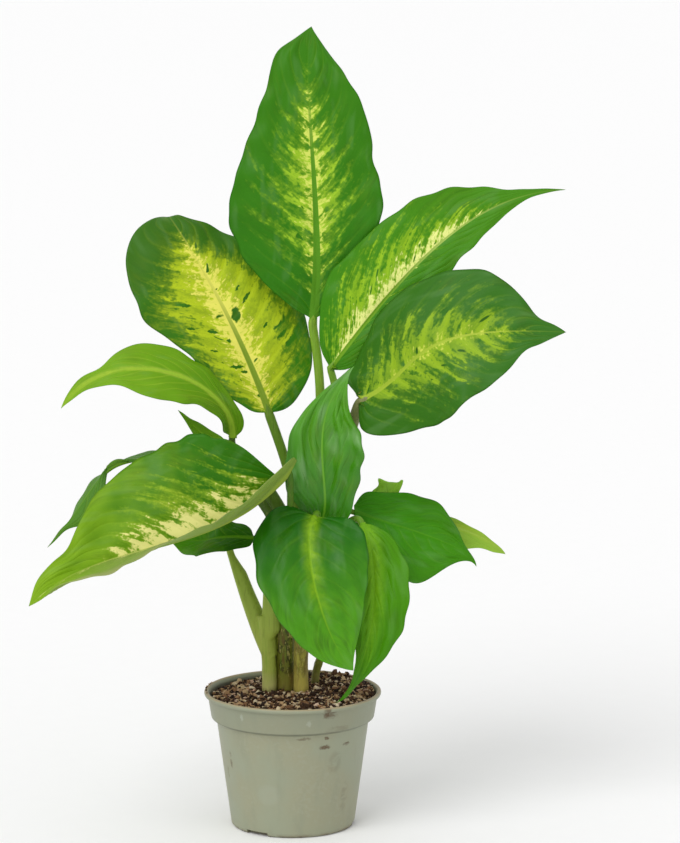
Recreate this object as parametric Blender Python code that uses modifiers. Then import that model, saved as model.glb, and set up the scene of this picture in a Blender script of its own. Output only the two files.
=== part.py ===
"""Potted dieffenbachia: a moulded nursery pot, its soil, four shoots and fifteen leaf blades.

Metres, +Z up. The origin is the centre of the pot's underside, and the plant is seen from -Y.
A shoot is one grown piece, a cane with its leaf stalks. Each blade starts at the end of its stalk.
"""

from collections import namedtuple
from math import cos, pi, radians, sin

import bmesh
import bpy
import numpy as np
from mathutils import Vector, noise

MM = 0.001
GAP = 0.3                      # mm, between pieces that touch

# Pot, in mm: heights above the underside, and radii of the outside
POT_HEIGHT = 92.5
RIM_RADIUS = 60.0
LIP_HEIGHT = 3.2
BAND_TOP_RADIUS = 57.6
BAND_FOOT_RADIUS = 55.3
BAND_FOOT = 74.0
BODY_TOP_RADIUS = 51.5
BASE_RADIUS = 41.8
STEP_HEIGHT = 1.6
WALL = 1.3
POT_STEPS = 48
DRAIN_SLOTS = 3
DRAIN_SLOT_LENGTH = 17.0
DRAIN_SLOT_HEIGHT = 2.6
DRAIN_SLOT_DEPTH = 9.0
FIRST_DRAIN_SLOT = -125.0      # degrees round the pot from +X

# Soil, in mm
SOIL_EDGE = 86.5               # mean height of the soil along the wall
SOIL_TILT = 4.0                # how much higher it lies at its high side
SOIL_HIGH_SIDE = -40.0         # degrees round the pot from +X
SOIL_MOUND = 3.0               # how much higher it is round the canes
SOIL_LUMPS = 1.2
LUMP_PITCH = 0.16              # lumps to a mm
CRUMB_PITCH = 0.45
SOIL_RINGS = 9
HOLE_SIDES = 16
HOLE_LENGTH = 60.0             # long enough to pass the soil's top
CANE_FOOT = 52.0               # where the canes end in the soil

# Blades, in mm
BLADE_THICK = 0.8
RIB_THICK = 2.2
SEAT_GAP = 0.5                 # mm, between a stalk's end and its blade
BLADE_BASE = 2.4               # half width where a blade leaves its stalk
STATIONS = (0.0, 0.04, 0.12, 0.25, 0.4, 0.55, 0.7, 0.85, 0.94, 1.0)
BIG = (8, 14)                  # faces across and along
SMALL = (6, 9)

Leaf = namedtuple("Leaf", "spine widths turn lift fold droop outline lobe skew wave faces tone")
Stalk = namedtuple("Stalk", "leaf points approach foot top")
Shoot = namedtuple("Shoot", "cane radii stalks tone")

DARK = (0.035, 0.13, 0.025)
MIDDLE = (0.06, 0.22, 0.03)
LIGHT = (0.16, 0.36, 0.05)
LIME = (0.36, 0.50, 0.08)

# spine: four Bezier points in mm; widths: left and right half width; turn, lift: where the upper
# side faces at the base and the tip, in degrees from -Y and above level; fold: rise of each half
# from the midrib at the base and the tip; droop: how far each half curls down; outline: share of the
# half width at each inner station; lobe: how far the basal lobes reach back, as a share of the half
# width; skew: how far the left half's outline slides to the tip and the right half's to the base;
# wave: height of the margin's wave in mm, waves along the blade, and the phase of each side.
LEAVES = {
    "leaf_top": Leaf(
        ((14, 20, 343), (23, 20, 409), (4, 28, 512), (13, 42, 538)), (55, 44),
        (-2, 0), (10, 25), (11, 9), (16, 15),
        (0.25, 0.55, 0.90, 1.00, 0.95, 0.70, 0.45, 0.20), 0.1, -0.04, (2.0, 2.5, 0.4, 2.0), BIG, LIME),
    "leaf_upper_left": Leaf(
        ((-16, 22, 279), (-43, 32, 357), (-89, 44, 418), (-86, 66, 410)), (51, 49),
        (4, 3), (23, 42), (12, 4), (10, 19),
        (0.20, 0.45, 0.75, 0.95, 1.00, 0.95, 0.60, 0.20), 0.7, 0.12, (1.5, 2.0, 0.0, 1.0), BIG, LIME),
    "leaf_upper_right": Leaf(
        ((27, 4, 314), (65, 7, 362), (112, 9, 430), (183, 14, 431)), (38, 20),
        (0, -1), (14, 24), (14, 12), (15, 14),
        (0.40, 0.75, 1.00, 1.00, 0.90, 0.60, 0.15, 0.05), 0.0, -0.02, (1.5, 2.0, 0.0, 1.0), BIG, LIME),
    "leaf_right": Leaf(
        ((48, -12, 293), (91, -28, 319), (71, -40, 348), (180, -46, 343)), (48, 50),
        (-10, 0), (28, 26), (7, 15), (24, 17),
        (0.35, 0.55, 0.75, 1.00, 1.00, 0.75, 0.20, 0.10), 0.7, 0.03, (1.5, 2.0, 0.0, 1.5), BIG, LIME),
    "leaf_left_arching": Leaf(
        ((-41, 17, 263), (-36, -2, 307), (-122, -10, 338), (-154, -12, 287)), (26, 20),
        (1, 0), (50, 45), (20, 12), (12, 21),
        (0.25, 0.35, 0.70, 1.00, 1.00, 0.55, 0.20, 0.10), 0.0, 0.0, (1.5, 2.0, 0.0, 1.5), BIG, LIGHT),
    "leaf_left_long": Leaf(
        ((-8, -28, 243), (-52, -35, 188), (-130, -52, 208), (-171, -80, 167)), (54, 61),
        (-6, -3), (52, 57), (60, 29), (-6, 19),
        (0.50, 0.80, 0.95, 1.00, 1.00, 0.85, 0.25, 0.15), 0.2, 0.1, (2.0, 2.5, 0.5, 2.0), BIG, LIGHT),
    "leaf_left_back": Leaf(
        ((-57, 45, 228), (-98, 40, 266), (-134, 25, 227), (-166, 5, 189)), (32, 14),
        (2, 1), (60, 49), (3, 8), (22, 19),
        (0.35, 0.65, 0.95, 1.00, 1.00, 0.85, 0.10, 0.05), 0.4, 0.05, (1.0, 2.0, 0.0, 1.0), BIG, DARK),
    "leaf_low_left": Leaf(
        ((-26, 5, 196), (-67, 8, 198), (-45, 20, 189), (-85, 40, 188)), (15, 21),
        (11, -9), (50, 40), (10, 13), (29, 29),
        (0.40, 0.60, 0.80, 1.00, 0.95, 0.75, 0.65, 0.30), 0.15, -0.1, (1.0, 2.0, 0.0, 1.0), SMALL, DARK),
    "leaf_left_sliver": Leaf(
        ((-44, 11, 236), (-54, 11, 254), (-66, 10, 272), (-77, 9, 283)), (8, 7),
        (0, 0), (40, 40), (12, 12), (15, 15),
        (0.50, 0.70, 0.85, 1.00, 0.95, 0.70, 0.35, 0.15), 0.1, 0.0, (0.5, 2.0, 0.0, 1.0), SMALL, DARK),
    "leaf_centre_upright": Leaf(
        ((20, -10, 211), (29, -17, 234), (4, -18, 279), (42, -17, 317)), (25, 27),
        (-1, -1), (10, 25), (20, 15), (16, 14),
        (0.60, 0.75, 0.95, 1.00, 0.90, 0.50, 0.20, 0.05), 0.0, -0.06, (1.5, 2.5, 0.0, 1.0), BIG, DARK),
    "leaf_centre_hanging": Leaf(
        ((15, -28, 217), (5, -50, 205), (20, -68, 142), (41, -62, 120)), (38, 37),
        (-1, 4), (55, 15), (15, 8), (20, 21),
        (0.50, 0.80, 1.00, 1.00, 0.85, 0.65, 0.40, 0.15), 0.45, 0.02, (1.5, 2.0, 0.0, 1.5), BIG, MIDDLE),
    "leaf_right_hanging": Leaf(
        ((47, -16, 210), (63, -40, 185), (53, -55, 109), (29, -42, 93)), (22, 17),
        (9, -5), (45, 5), (18, 12), (15, 15),
        (0.30, 0.70, 1.00, 0.95, 0.85, 0.45, 0.10, 0.05), 0.25, 0.04, (1.5, 2.5, 0.0, 1.5), BIG, MIDDLE),
    "leaf_right_low": Leaf(
        ((42, 10, 213), (86, 4, 200), (122, -2, 191), (124, -4, 178)), (26, 38),
        (0, 4), (34, 34), (9, 7), (26, 21),
        (0.35, 0.60, 0.85, 1.00, 0.95, 0.70, 0.20, 0.05), 0.0, -0.03, (1.5, 2.0, 0.0, 1.5), BIG, MIDDLE),
    "leaf_right_back": Leaf(
        ((69, 30, 207), (89, 30, 207), (135, 28, 194), (145, 24, 181)), (7, 20),
        (0, 0), (45, 45), (9, 9), (15, 16),
        (0.40, 0.75, 1.00, 1.00, 0.75, 0.35, 0.30, 0.15), 0.4, -0.12, (0.8, 2.0, 0.0, 1.0), SMALL, LIGHT),
    "leaf_right_stub": Leaf(
        ((56, 22, 209), (62, 26, 218), (62, 29, 218), (72, 29, 230)), (10, 9),
        (0, 0), (35, 35), (8, 8), (15, 15),
        (0.50, 0.70, 0.90, 1.00, 1.00, 0.85, 0.50, 0.15), 0.1, 0.05, (0.5, 1.0, 0.0, 1.0), SMALL, LIGHT),
}

# cane: points of its middle line in mm, from the foot; radii along it; stalks: the blade that each
# one carries, the two Bezier points that it sets out by, how far before the blade it comes into line
# with the midrib, and its radius at the foot and top.
SHOOTS = {
    "shoot_middle": Shoot(
        ((-4, 14, CANE_FOOT), (-4, 14, 100), (-2, 14, 140), (3, 13, 180), (8, 12, 214)),
        (5.4, 5.4, 4.9, 4.2, 3.6), (
            Stalk("leaf_top", ((8, 12, 206), (24, 14, 290)), 10, 3.6, 3.1),
            Stalk("leaf_upper_left", ((3, 13, 180), (8, 19, 215)), 28, 3.6, 3.3),
            Stalk("leaf_upper_right", ((8, 12, 200), (45, 8, 268)), 3, 3.4, 2.5),
            Stalk("leaf_right", ((7, 12, 188), (40, 10, 250)), 9, 3.6, 2.8),
            Stalk("leaf_centre_upright", ((0, 13, 150), (4, 12, 178)), 12, 3.4, 2.5),
            Stalk("leaf_left_arching", ((0, 14, 165), (-2, 22, 215)), 20, 3.4, 2.4),
            Stalk("leaf_left_sliver", ((-1, 14, 140), (0, 4, 205)), 14, 2.6, 1.7),
        ), MIDDLE),
    "shoot_front": Shoot(
        ((6, 6, CANE_FOOT), (6, 6, 100), (7, 4, 130), (8, 1, 158)),
        (5.0, 4.7, 4.2, 3.4), (
            Stalk("leaf_centre_hanging", ((8, 2, 148), (10, -10, 190)), 14, 3.4, 2.4),
            Stalk("leaf_right_hanging", ((7, 4, 135), (16, 0, 190)), 14, 3.4, 2.4),
            Stalk("leaf_left_long", ((8, 1, 150), (-9, -27, 219)), 20, 3.4, 2.2),
        ), LIGHT),
    "shoot_left": Shoot(
        ((-16, 10, CANE_FOOT), (-16, 10, 100), (-18, 10, 125), (-20, 10, 142)),
        (5.2, 5.0, 4.4, 3.8), (
            Stalk("leaf_left_back", ((-17, 10, 112), (-38, 14, 150)), 12, 5.0, 2.0),
            Stalk("leaf_low_left", ((-19, 10, 132), (-18, 9, 175)), 10, 3.6, 2.2),
        ), LIGHT),
    "shoot_right": Shoot(
        ((15, 26, CANE_FOOT), (15, 26, 90), (22, 26, 118), (30, 24, 145)),
        (2.8, 2.9, 2.8, 2.6), (
            Stalk("leaf_right_low", ((24, 25, 125), (28, 26, 180)), 16, 2.6, 2.0),
            Stalk("leaf_right_back", ((29, 24, 142), (44, 30, 185)), 16, 2.4, 1.7),
            Stalk("leaf_right_stub", ((28, 24, 138), (38, 20, 165)), 16, 2.2, 1.7),
        ), LIGHT),
}

FINE_STEPS = 160               # points of the fine line that a curve is measured along
DIRECTION_STEP = 0.01          # share of a midrib on each side that gives its direction
BLADE_SPACING = 1.15           # above 1 sets a blade's rows closer together near its base
RIB_TAPER = 0.55               # how much of its extra thickness the rib loses by the tip
BASE_SHARE = 0.5               # how much of the rib's thickness the rest of a blade's base has
STALK_POINTS = 13
STALK_SPACING = 1.4            # above 1 sets a stalk's points closer together near its blade
STALK_END = 2.0                # mm, the straight end of a stalk
CANE_POINTS = 12
NODE_EVERY = 3                 # cane points from one node to the next
NODE_SWELL = 1.05              # how much thicker a cane is at its nodes
TUBE_SIDES = 2                 # a bevel resolution of 2 gives eight sides
WELD = 0.00001                 # metres


def clear_scene():
    for thing in list(bpy.data.objects):
        bpy.data.objects.remove(thing, do_unlink=True)


def collection(name):
    made = bpy.data.collections.new(name)
    bpy.context.scene.collection.children.link(made)
    return made


def finish(thing, colour, roughness):
    material = bpy.data.materials.new(thing.name)
    material.use_nodes = True
    shader = material.node_tree.nodes["Principled BSDF"]
    shader.inputs["Base Color"].default_value = (*colour, 1.0)
    shader.inputs["Roughness"].default_value = roughness
    shader.inputs["Metallic"].default_value = 0.0
    thing.data.materials.clear()
    thing.data.materials.append(material)


def evaluated_mesh(thing):
    bpy.context.view_layer.update()
    graph = bpy.context.evaluated_depsgraph_get()
    return bpy.data.meshes.new_from_object(thing.evaluated_get(graph), depsgraph=graph)


def mesh_object(name, mesh, group):
    made = bpy.data.objects.new(name, mesh)
    group.objects.link(made)
    return made


def as_mesh(thing, group):
    """The object with its modifiers applied, or the curve with its caps welded on, under its name."""
    name = thing.name
    mesh = evaluated_mesh(thing)
    if thing.type == "CURVE":
        work = bmesh.new()
        work.from_mesh(mesh)
        bmesh.ops.remove_doubles(work, verts=work.verts, dist=WELD)
        work.to_mesh(mesh)
        work.free()
    place = thing.matrix_world.copy()
    bpy.data.objects.remove(thing, do_unlink=True)
    made = mesh_object(name, mesh, group)
    made.matrix_world = place
    return made


def turned(name, profile, steps, group):
    """A closed turned solid. The profile runs down its outer side and is in mm: radius, height."""
    mesh = bpy.data.meshes.new(name)
    points = [(radius * MM, 0.0, height * MM) for radius, height in profile]
    mesh.from_pydata(points, [(i, i + 1) for i in range(len(points) - 1)], [])
    thing = mesh_object(name, mesh, group)
    screw = thing.modifiers.new("turn", "SCREW")
    screw.axis = "Z"
    screw.steps = steps
    screw.render_steps = steps
    screw.use_merge_vertices = True
    screw.merge_threshold = WELD
    return thing


def cut(thing, cutters, group):
    for number, cutter in enumerate(cutters):
        change = thing.modifiers.new(f"cut_{number}", "BOOLEAN")
        change.operation = "DIFFERENCE"
        change.solver = "EXACT"
        change.object = cutter
    return as_mesh(thing, group)


def pot_outside():
    """The pot's outer profile from the lip's crest down to the middle of the underside."""
    lip_foot = POT_HEIGHT - LIP_HEIGHT
    return [
        (RIM_RADIUS - 1.6, POT_HEIGHT),
        (RIM_RADIUS - 0.4, POT_HEIGHT - 0.4),
        (RIM_RADIUS, POT_HEIGHT - 1.4),
        (RIM_RADIUS - 0.3, lip_foot + 0.4),
        (BAND_TOP_RADIUS, lip_foot),
        (BAND_FOOT_RADIUS, BAND_FOOT + 0.8),
        (BAND_FOOT_RADIUS - 0.8, BAND_FOOT),
        (BODY_TOP_RADIUS + 0.3, BAND_FOOT - STEP_HEIGHT),
        (BODY_TOP_RADIUS, BAND_FOOT - STEP_HEIGHT - 1.0),
        (BASE_RADIUS + 0.2, 1.4),
        (BASE_RADIUS - 0.5, 0.4),
        (BASE_RADIUS - 1.4, 0.0),
        (0.0, 0.0),
    ]


def pot_inside():
    """The pot's inner profile from the middle of the floor up to the lip."""
    return [
        (0.0, WALL),
        (BASE_RADIUS - WALL, WALL + 0.2),
        (BODY_TOP_RADIUS - WALL, BAND_FOOT - STEP_HEIGHT),
        (BAND_FOOT_RADIUS - WALL, BAND_FOOT + 1.4),
        (BAND_TOP_RADIUS - WALL + 0.2, POT_HEIGHT - 2.0),
        (RIM_RADIUS - 2.8, POT_HEIGHT - 0.5),
    ]


def box_cutter(name, size, place, turn, group):
    bpy.ops.mesh.primitive_cube_add(size=1.0)
    cutter = bpy.context.active_object
    cutter.name = name
    for owner in list(cutter.users_collection):
        owner.objects.unlink(cutter)
    group.objects.link(cutter)
    for vertex in cutter.data.vertices:
        vertex.co = [side * part * MM for side, part in zip(size, vertex.co)]
    cutter.location = [part * MM for part in place]
    cutter.rotation_euler = (0.0, 0.0, turn)
    cutter.hide_render = True
    cutter.display_type = "WIRE"
    return cutter


def make_pot(parts, cutters):
    pot = turned("pot", pot_inside() + pot_outside(), POT_STEPS, parts)
    slots = []
    for number in range(DRAIN_SLOTS):
        turn = radians(FIRST_DRAIN_SLOT + number * 360.0 / DRAIN_SLOTS)
        middle = (BASE_RADIUS * cos(turn), BASE_RADIUS * sin(turn), 0.0)
        size = (DRAIN_SLOT_DEPTH, DRAIN_SLOT_LENGTH, 2.0 * DRAIN_SLOT_HEIGHT)
        slots.append(box_cutter(f"drain_slot_{number}", size, middle, turn, cutters))
    pot = cut(pot, slots, parts)
    pot.data.shade_smooth()
    pot.data.set_sharp_from_angle(angle=radians(35))
    finish(pot, (0.31, 0.34, 0.25), 0.5)


def inner_radius(height):
    """Radius of the pot's inside at a height, in mm."""
    points = pot_inside()[1:]
    return float(np.interp(height, [point[1] for point in points], [point[0] for point in points]))


def soil_height(x, y):
    """Height of the soil's top in mm: it slopes to one side, with a low mound and lumps."""
    high = radians(SOIL_HIGH_SIDE)
    edge = inner_radius(SOIL_EDGE)
    slope = SOIL_TILT * (x * cos(high) + y * sin(high)) / edge
    mound = SOIL_MOUND * max(0.0, 1.0 - (x * x + y * y) / edge ** 2) ** 2
    lumps = SOIL_LUMPS * noise.noise(Vector((x * LUMP_PITCH, y * LUMP_PITCH, 3.0)))
    crumbs = 0.5 * SOIL_LUMPS * noise.noise(Vector((x * CRUMB_PITCH, y * CRUMB_PITCH, 9.0)))
    return SOIL_EDGE + slope + mound + lumps + crumbs


def make_soil(parts, cutters, feet):
    edge = inner_radius(SOIL_EDGE) - GAP
    step = BAND_FOOT - STEP_HEIGHT
    profile = [(edge * ring / SOIL_RINGS, SOIL_EDGE) for ring in range(SOIL_RINGS + 1)]
    profile += [
        (inner_radius(BAND_FOOT + 1.4) - GAP, BAND_FOOT + 1.7),
        (inner_radius(step) - GAP, step + 0.1),
        (inner_radius(WALL + 0.2) - GAP, WALL + 0.2 + GAP),
        (0.0, WALL + GAP),
    ]
    soil = as_mesh(turned("soil", profile, POT_STEPS, parts), parts)
    work = bmesh.new()
    work.from_mesh(soil.data)
    bmesh.ops.triangulate(work, faces=work.faces)
    work.to_mesh(soil.data)
    work.free()
    for vertex in soil.data.vertices:
        if vertex.co.z > (SOIL_EDGE - 0.5) * MM:
            height = soil_height(vertex.co.x / MM, vertex.co.y / MM)
            widen = (inner_radius(height) - GAP) / edge
            vertex.co.x *= widen
            vertex.co.y *= widen
            vertex.co.z = height * MM
    holes = []
    for name, (x, y, radius) in feet.items():
        bpy.ops.mesh.primitive_cylinder_add(vertices=HOLE_SIDES, radius=1.0, depth=1.0)
        hole = bpy.context.active_object
        hole.name = f"{name}_hole"
        for owner in list(hole.users_collection):
            owner.objects.unlink(hole)
        cutters.objects.link(hole)
        for vertex in hole.data.vertices:
            vertex.co.x *= (radius + GAP) / cos(pi / HOLE_SIDES) * MM
            vertex.co.y *= (radius + GAP) / cos(pi / HOLE_SIDES) * MM
            vertex.co.z *= HOLE_LENGTH * MM
        hole.location = (x * MM, y * MM, (CANE_FOOT - GAP + HOLE_LENGTH / 2.0) * MM)
        hole.hide_render = True
        hole.display_type = "WIRE"
        holes.append(hole)
    soil = cut(soil, holes, parts)
    finish(soil, (0.05, 0.03, 0.02), 0.95)


def bezier(points, share):
    a, b, c, d = (np.asarray(point, float) for point in points)
    u = np.asarray(share, float)[:, None]
    return (1 - u) ** 3 * a + 3 * (1 - u) ** 2 * u * b + 3 * (1 - u) * u * u * c + u ** 3 * d


def along(points, share):
    """Points at equal shares of the length of a fine line."""
    steps = np.linalg.norm(np.diff(points, axis=0), axis=1)
    length = np.concatenate(([0.0], np.cumsum(steps)))
    length /= length[-1]
    return np.stack([np.interp(share, length, points[:, axis]) for axis in range(3)], axis=-1)


def unit(vectors):
    return vectors / np.linalg.norm(vectors, axis=-1, keepdims=True)


def smooth_curve(stations, values, share):
    """A smooth, never overshooting curve through the values at the stations."""
    x = np.asarray(stations)
    y = np.asarray(values)
    run = np.diff(x)
    rise = np.diff(y) / run
    slope = np.zeros_like(y)
    turns = rise[:-1] * rise[1:] > 0
    first = 2 * run[1:] + run[:-1]
    second = run[1:] + 2 * run[:-1]
    middle = np.where(turns, rise[:-1] * rise[1:], 1.0)
    mean = (first + second) * middle / np.where(turns, first * rise[1:] + second * rise[:-1], 1.0)
    slope[1:-1] = np.where(turns, mean, 0.0)
    slope[0] = rise[0]
    slope[-1] = rise[-1]
    k = np.clip(np.searchsorted(x, share, side="right") - 1, 0, len(run) - 1)
    u = (share - x[k]) / run[k]
    return (
        (1 + 2 * u) * (1 - u) ** 2 * y[k] + u * (1 - u) ** 2 * run[k] * slope[k]
        + u * u * (3 - 2 * u) * y[k + 1] + u * u * (u - 1) * run[k] * slope[k + 1]
    )


def facing(turn, lift):
    turn, lift = radians(turn), radians(lift)
    return np.array([sin(turn) * cos(lift), -cos(turn) * cos(lift), sin(lift)])


def blade_points(leaf, t, s):
    """The upper side of a blade in mm: t from base to tip, s from -1 at the left margin to 1."""
    fine = bezier(leaf.spine, np.linspace(0.0, 1.0, FINE_STEPS))
    middle = along(fine, t)
    before = along(fine, np.clip(t - DIRECTION_STEP, 0, 1))
    ahead = unit(along(fine, np.clip(t + DIRECTION_STEP, 0, 1)) - before)
    blend = t[:, None]
    up = (1 - blend) * facing(leaf.turn[0], leaf.lift[0]) + blend * facing(leaf.turn[1], leaf.lift[1])
    up = unit(up - (up * ahead).sum(axis=1, keepdims=True) * ahead)
    side = np.cross(ahead, up)
    slide = leaf.skew * np.sin(pi * t)
    outline = (0.0, *leaf.outline, 0.0)
    left = leaf.widths[0] * smooth_curve(STATIONS, outline, np.clip(t - slide, 0, 1))
    right = leaf.widths[1] * smooth_curve(STATIONS, outline, np.clip(t + slide, 0, 1))
    start = BLADE_BASE * np.clip(1 - t / STATIONS[1], 0, 1)
    blade = np.where(s[None, :] < 0, left[:, None], right[:, None])
    half = np.maximum(blade, start[:, None])
    reach = np.abs(s)[None, :]
    rise = np.radians(leaf.fold[0] + (leaf.fold[1] - leaf.fold[0]) * t)[:, None]
    curl = np.radians(np.where(s < 0, leaf.droop[0], leaf.droop[1]))[None, :]
    angle = rise - curl * reach / 2
    height, count, left_phase, right_phase = leaf.wave
    phase = np.where(s < 0, left_phase, right_phase)[None, :]
    swell = np.clip(6 * t * (1 - t), 0, 1)[:, None]
    wave = height * reach ** 2 * np.sin(2 * pi * count * t[:, None] + phase) * swell
    out = half * reach * np.cos(angle) * np.sign(s)
    lift = half * reach * np.sin(angle) + wave
    back = -leaf.lobe * blade * reach ** 1.5 * ((1 - t) ** 3)[:, None]
    return (
        middle[:, None, :] + side[:, None, :] * out[..., None]
        + up[:, None, :] * lift[..., None] + ahead[:, None, :] * back[..., None]
    )


def make_blade(name, leaf, parts):
    across, lengthwise = leaf.faces
    t = np.linspace(0.0, 1.0, lengthwise + 1) ** BLADE_SPACING
    s = np.linspace(-1.0, 1.0, across + 1)
    points = blade_points(leaf, t, s)
    work = bmesh.new()
    grid = [[work.verts.new(point * MM) for point in row] for row in points]
    for i in range(lengthwise):
        for j in range(across):
            work.faces.new((grid[i][j], grid[i][j + 1], grid[i + 1][j + 1], grid[i + 1][j]))
    work.verts.index_update()
    rib = {grid[i][across // 2].index: 1.0 - RIB_TAPER * t[i] for i in range(lengthwise)}
    base = [vertex.index for vertex in grid[0]]
    work.faces.ensure_lookup_table()
    bmesh.ops.triangulate(work, faces=work.faces, quad_method="ALTERNATE")
    mesh = bpy.data.meshes.new(name)
    work.to_mesh(mesh)
    work.free()
    blade = mesh_object(name, mesh, parts)
    thick = blade.vertex_groups.new(name="thick")
    for index in range(len(mesh.vertices)):
        share = rib.get(index, 0.0)
        if index in base:
            share = max(share, BASE_SHARE)
        thickness = BLADE_THICK + (RIB_THICK - BLADE_THICK) * share
        thick.add([index], thickness / RIB_THICK, "REPLACE")
    weld = blade.modifiers.new("tip", "WELD")
    weld.merge_threshold = 0.00005
    shell = blade.modifiers.new("thickness", "SOLIDIFY")
    shell.thickness = RIB_THICK * MM
    shell.vertex_group = "thick"
    shell.offset = -1.0
    shell.use_even_offset = False
    blade.data.shade_smooth()
    finish(blade, leaf.tone, 0.4)


def tube(name, points, radii, group):
    """A tube through the points, in mm, with a radius at each."""
    curve = bpy.data.curves.new(name, "CURVE")
    curve.dimensions = "3D"
    curve.bevel_depth = MM
    curve.bevel_resolution = TUBE_SIDES
    curve.use_fill_caps = True
    line = curve.splines.new("POLY")
    line.points.add(len(points) - 1)
    for spot, place, radius in zip(line.points, points, radii):
        spot.co = (place[0] * MM, place[1] * MM, place[2] * MM, 1.0)
        spot.radius = radius
    thing = bpy.data.objects.new(name, curve)
    group.objects.link(thing)
    return as_mesh(thing, group)


def stalk_line(stalk):
    """The stalk's middle line, which ends a gap short of its blade and in line with the midrib."""
    leaf = LEAVES[stalk.leaf]
    base, near = bezier(leaf.spine, np.array([0.0, 0.02]))
    ahead = unit(near - base)
    up = facing(leaf.turn[0], leaf.lift[0])
    under = unit(up - (up @ ahead) * ahead) * RIB_THICK / 2
    end = base - under - ahead * SEAT_GAP
    straight = end - ahead * STALK_END
    handles = (*stalk.points, end - ahead * stalk.approach, straight)
    points = bezier(handles, np.linspace(0.0, 1.0, FINE_STEPS))
    share = 1.0 - (1.0 - np.linspace(0.0, 1.0, STALK_POINTS)) ** STALK_SPACING
    return np.vstack((along(points, share), end))


def cane_line(shoot):
    """The cane's middle line through its own points, with a node's swelling every so often."""
    share = np.linspace(0.0, 1.0, CANE_POINTS)
    own = np.asarray(shoot.cane, float)
    stations = np.linspace(0.0, 1.0, len(own))
    points = np.stack([smooth_curve(stations, own[:, axis], share) for axis in range(3)], axis=-1)
    radii = np.interp(share, stations, shoot.radii)
    radii = radii * np.where(np.arange(CANE_POINTS) % NODE_EVERY == NODE_EVERY - 1, NODE_SWELL, 1.0)
    return points, radii


def make_shoot(name, shoot, parts, cutters):
    points, radii = cane_line(shoot)
    cane = tube(name, points, radii, parts)
    spare = collection(f"{name}_stalks")
    for stalk in shoot.stalks:
        line = stalk_line(stalk)
        share = np.linspace(0.0, 1.0, len(line))
        radii = stalk.top + (stalk.foot - stalk.top) * (1.0 - share) ** 2
        tube(f"{stalk.leaf}_stalk", line, radii, spare)
    union = cane.modifiers.new("stalks", "BOOLEAN")
    union.operation = "UNION"
    union.solver = "EXACT"
    union.operand_type = "COLLECTION"
    union.collection = spare
    cane = as_mesh(cane, parts)
    for thing in list(spare.objects):
        bpy.data.objects.remove(thing, do_unlink=True)
    bpy.data.collections.remove(spare)
    cane.data.shade_smooth()
    finish(cane, shoot.tone, 0.45)


def main():
    clear_scene()
    parts = collection("potted_dieffenbachia")
    cutters = collection("cutters")
    make_pot(parts, cutters)
    feet = {name: (*shoot.cane[0][:2], max(shoot.radii) * NODE_SWELL) for name, shoot in SHOOTS.items()}
    make_soil(parts, cutters, feet)
    for name, shoot in SHOOTS.items():
        make_shoot(name, shoot, parts, cutters)
    for name, leaf in LEAVES.items():
        make_blade(name, leaf, parts)


main()
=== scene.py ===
"""Potted dieffenbachia: fine leaves, shoots, soil and pot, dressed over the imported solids.

Laid out as a Blender add-on and run as a script. Metres, +Z up, with the plant's best side to -Y.
The tables of leaves and shoots follow those of the part's own source, in mm and degrees.
"""
from collections import namedtuple
from math import cos, pi, radians, sin

import bmesh
import bpy
import numpy as np
from bpy.props import FloatProperty, FloatVectorProperty, IntProperty, PointerProperty
from bpy.types import Operator, Panel, PropertyGroup
from mathutils import Matrix, Vector, noise
from mathutils.bvhtree import BVHTree
from mathutils.kdtree import KDTree


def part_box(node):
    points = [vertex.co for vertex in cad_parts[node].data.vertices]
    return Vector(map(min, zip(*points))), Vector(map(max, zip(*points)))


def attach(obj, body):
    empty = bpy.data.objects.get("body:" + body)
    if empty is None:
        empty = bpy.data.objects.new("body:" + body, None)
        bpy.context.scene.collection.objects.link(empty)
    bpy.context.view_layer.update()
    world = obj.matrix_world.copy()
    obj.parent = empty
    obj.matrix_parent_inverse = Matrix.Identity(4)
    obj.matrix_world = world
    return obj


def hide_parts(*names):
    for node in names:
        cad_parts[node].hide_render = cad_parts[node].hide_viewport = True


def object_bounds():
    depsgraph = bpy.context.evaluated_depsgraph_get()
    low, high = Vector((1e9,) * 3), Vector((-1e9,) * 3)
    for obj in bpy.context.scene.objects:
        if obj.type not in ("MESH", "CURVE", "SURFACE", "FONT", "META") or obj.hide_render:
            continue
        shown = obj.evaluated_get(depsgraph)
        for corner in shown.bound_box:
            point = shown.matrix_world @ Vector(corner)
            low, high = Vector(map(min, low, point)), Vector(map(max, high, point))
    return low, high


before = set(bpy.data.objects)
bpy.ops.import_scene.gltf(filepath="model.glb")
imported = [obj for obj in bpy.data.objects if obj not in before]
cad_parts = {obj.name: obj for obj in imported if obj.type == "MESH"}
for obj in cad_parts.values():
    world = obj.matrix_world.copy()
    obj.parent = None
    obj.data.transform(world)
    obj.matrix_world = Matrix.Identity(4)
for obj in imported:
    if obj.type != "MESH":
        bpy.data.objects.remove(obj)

bl_info = {
    "name": "Potted Dieffenbachia",
    "version": (1, 0, 0),
    "blender": (4, 5, 0),
    "location": "View3D > Sidebar > Dieffenbachia",
    "description": "Grows a variegated dieffenbachia in its nursery pot round the packed solids",
    "category": "Object",
}

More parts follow.
